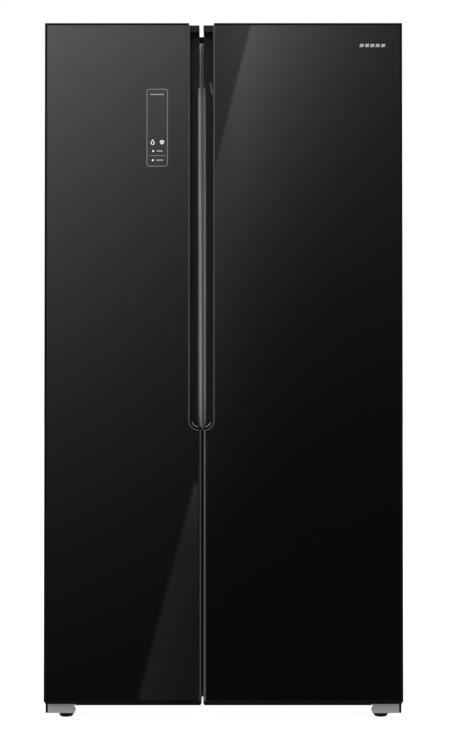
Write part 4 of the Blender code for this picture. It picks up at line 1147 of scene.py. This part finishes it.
# %% Ice maker
softened("ice_tray_frame", white_plastic, edge=0.0010, segments=3)
softened("ice_tray", ice_plastic, edge=0.0007)
low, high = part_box("ice_tray")
KNOB_RIBS, KNOB_RADIUS, RIB_HALF = 20, 0.0212, 0.0011
knob_x, knob_z = (low.x + high.x) / 2, low.z + 0.022
ribs = Form()
for k in range(KNOB_RIBS):
    turn = 2 * math.pi * k / KNOB_RIBS
    x, z = knob_x + KNOB_RADIUS * math.cos(turn), knob_z + KNOB_RADIUS * math.sin(turn)
    ribs.box((x - RIB_HALF, low.y + 0.0045, z - RIB_HALF), (x + RIB_HALF, low.y + 0.0115, z + RIB_HALF))
ribs.place("ice_knob_ribs", grey_plastic, nodes["ice_tray"]["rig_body"], "white_plastic", edge=0.0004)
print("ice tray knob has", KNOB_RIBS, "ribs")

# %% [markdown]
# ## The studio
# A black mirror shows its surroundings, so the look of the glass is mostly made by what stands behind
# the camera. One large card there fades from bright at the top to dark at the bottom, with two slanted
# edges, like the folds of a studio curtain, and it melts into the white room at its borders, so that no
# hard edge shows in a door that is seen from the side. Only reflections see it.

# %% The reflection card
CAMERA = Vector((0.0089, -3.605, 0.826))
CARD_Y = CAMERA.y - 0.4
REACH = (CARD_Y - GLASS_Y) / (CAMERA.y - GLASS_Y) + 1

STRENGTH = 2.4
GLOSS = 0.04            # share of the light that clean glass mirrors when seen straight on
card_finish = Finish("reflection_card", (0.0, 0.0, 0.0), 1.0, Specular_IOR_Level=0.0,
                     Emission_Strength=STRENGTH)
door_x = (card_finish.axis("X") - CAMERA.x) / REACH + CAMERA.x
door_z = (card_finish.axis("Z") - CAMERA.z) / REACH + CAMERA.z
on_right = door_x > SPLIT


def fading(wire, length):
    """Falls to about a third over each length."""
    return wire.math("EXPONENT", wire / -length)


# The card brightens steadily with height. Across, it darkens towards the right: in a straight slope
# on the freezer side, and faster on the fridge side, where the light fades away from the slot.
upper = ((door_z - 1.07) / 0.68).clamped()
fall = ((0.148 + 0.253 * door_z + 0.137 * door_z * door_z) ** 2.4).clamped()
side = door_x.clamped(-HALF, HALF)
left_low, left_high = 0.429 - 1.389 * side, 0.502 - 0.915 * side
right_low = 0.127 + 0.470 * fading(side, 0.131)
right_high = side.math("MINIMUM", 0.783 + 2.199 * side, 1.047 * fading(side, 0.258))
left, right = left_low + (left_high - left_low) * upper, right_low + (right_high - right_low) * upper
across = left + (right - left) * on_right


def past(x0, z0, x1, z1):
    """How far a point lies to the right of a slanted line."""
    return door_x - x0 - (door_z - z0) * ((x1 - x0) / (z1 - z0))


first_fold = (past(0.0706, 1.772, -0.0152, 1.429) / 0.006 + 0.5).clamped()
dimmed = 1.0 - on_right * (1.0 - first_fold) * 0.55
beyond = past(-0.0761, 0.5863, -0.2090, 0.0787)
second_fold = (beyond / 0.010 + 0.5).clamped() * (1.0 - on_right)
lift = (0.008 + 0.009 * ((door_z - 0.45) / 0.14).clamped()) * (1.0 - 0.45 * (beyond / 0.10).clamped())
low_right = 1.0 - on_right * 0.75 * ((1.07 - door_z) / 0.80).clamped()
folded = second_fold * lift * (1 / (GLOSS * STRENGTH)) * (door_z < 0.60)
light = fall * across * dimmed * low_right + folded
sideways = ((door_x.math("ABSOLUTE", door_x) - 0.50) / 0.80).clamped()
upwards = ((door_z - 1.84) / 0.55).clamped()
downwards = ((-0.04 - door_z) / 0.55).clamped()
inside = (1.0 - sideways) * (1.0 - upwards) * (1.0 - downwards)
inside = inside * inside * (3.0 - 2.0 * inside)
card_finish.feed("Emission Color", light * inside + (1.0 - inside) * (1 / STRENGTH))

card_data = bpy.data.meshes.new("reflection_card")
CARD_HALF, CARD_LOW, CARD_HIGH = 3.0, -2.4, 4.5
corners = [(-CARD_HALF, CARD_LOW), (CARD_HALF, CARD_LOW), (CARD_HALF, CARD_HIGH), (-CARD_HALF, CARD_HIGH)]
card_data.from_pydata([(x, CARD_Y, z) for x, z in corners], [], [(0, 1, 2, 3)])
card_data.materials.append(card_finish.material)
card_object = bpy.data.objects.new("reflection_card", card_data)
bpy.context.scene.collection.objects.link(card_object)
card_object.visible_camera = card_object.visible_diffuse = card_object.visible_shadow = False
card_object.visible_transmission = card_object.visible_volume_scatter = False
card_object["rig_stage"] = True
print("the card is seen", round(REACH, 3), "times larger than the doors")

# %% [markdown]
# ## The floor
# The floor is one plain pale plane. It glows a little by itself, so that it stays as white as the room
# around it, and its colour keeps the soft shadow under the feet.

# %% Floor
floor_finish = Finish("studio_floor", (0.34, 0.34, 0.34), 0.9, Specular_IOR_Level=0.0,
                      Emission_Strength=0.88)
floor_finish.tinted(floor_finish.noise(0.8, 2.0) * 0.3, (0.33, 0.33, 0.332))
floor_finish.shader.inputs["Emission Color"].default_value = (1.0, 1.0, 1.0, 1.0)
floor = bpy.data.meshes.new("studio_floor")
floor.from_pydata([(-30, -30, 0), (30, -30, 0), (30, 30, 0), (-30, 30, 0)], [], [(0, 1, 2, 3)])
floor.materials.append(floor_finish.material)
floor_object = bpy.data.objects.new("studio_floor", floor)
bpy.context.scene.collection.objects.link(floor_object)
floor_object.visible_glossy = False
floor_object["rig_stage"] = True
print("the floor lies at zero")

# %% [markdown]
# ## Lights and camera
# White surroundings give even light without hard shadows, and three large lamps give shape to the edges.
# The camera stands a little over three metres away at chest height and looks up by less than a degree.

# %% World, lamps and camera
world = bpy.data.worlds.new("studio")
world.use_nodes = True
world.node_tree.nodes["Background"].inputs["Color"].default_value = (1.0, 1.0, 1.0, 1.0)
world.node_tree.nodes["Background"].inputs["Strength"].default_value = 1.0
bpy.context.scene.world = world


def lamp(name, place, target, size, power, glossy):
    data = bpy.data.lights.new(name, "AREA")
    data.shape, data.size, data.size_y, data.energy = "RECTANGLE", size[0], size[1], power
    item = bpy.data.objects.new(name, data)
    bpy.context.scene.collection.objects.link(item)
    item.location = place
    item.rotation_euler = (Vector(target) - Vector(place)).to_track_quat("-Z", "Y").to_euler()
    item.visible_glossy = glossy
    return item


lamp("overhead", (0.0, -0.6, 3.6), (0.0, 0.0, 0.0), (3.0, 2.4), 40, True)
lamp("front_left", (-2.6, -3.0, 2.6), (0.0, 0.0, 0.9), (1.6, 1.6), 45, False)
lamp("front_right", (2.8, -2.6, 1.6), (0.0, 0.0, 0.8), (1.2, 2.0), 28, False)

view = bpy.data.cameras.new("view")
view.lens, view.sensor_width, view.clip_start = 61.97, 36.0, 0.05
camera = bpy.data.objects.new("view", view)
bpy.context.scene.collection.objects.link(camera)
camera.location = CAMERA
camera.rotation_euler = (math.pi / 2 + 0.01413, 0.0, 0.0)
bpy.context.scene.camera = camera
bpy.context.scene.view_settings.view_transform = "Standard"
print("camera is", round(GLASS_Y - CAMERA.y, 2), "metres from the doors")

# %% Print the sizes and finish
low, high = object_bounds()
print("visual model is", [round(b - a, 4) for a, b in zip(low, high)], "metres")
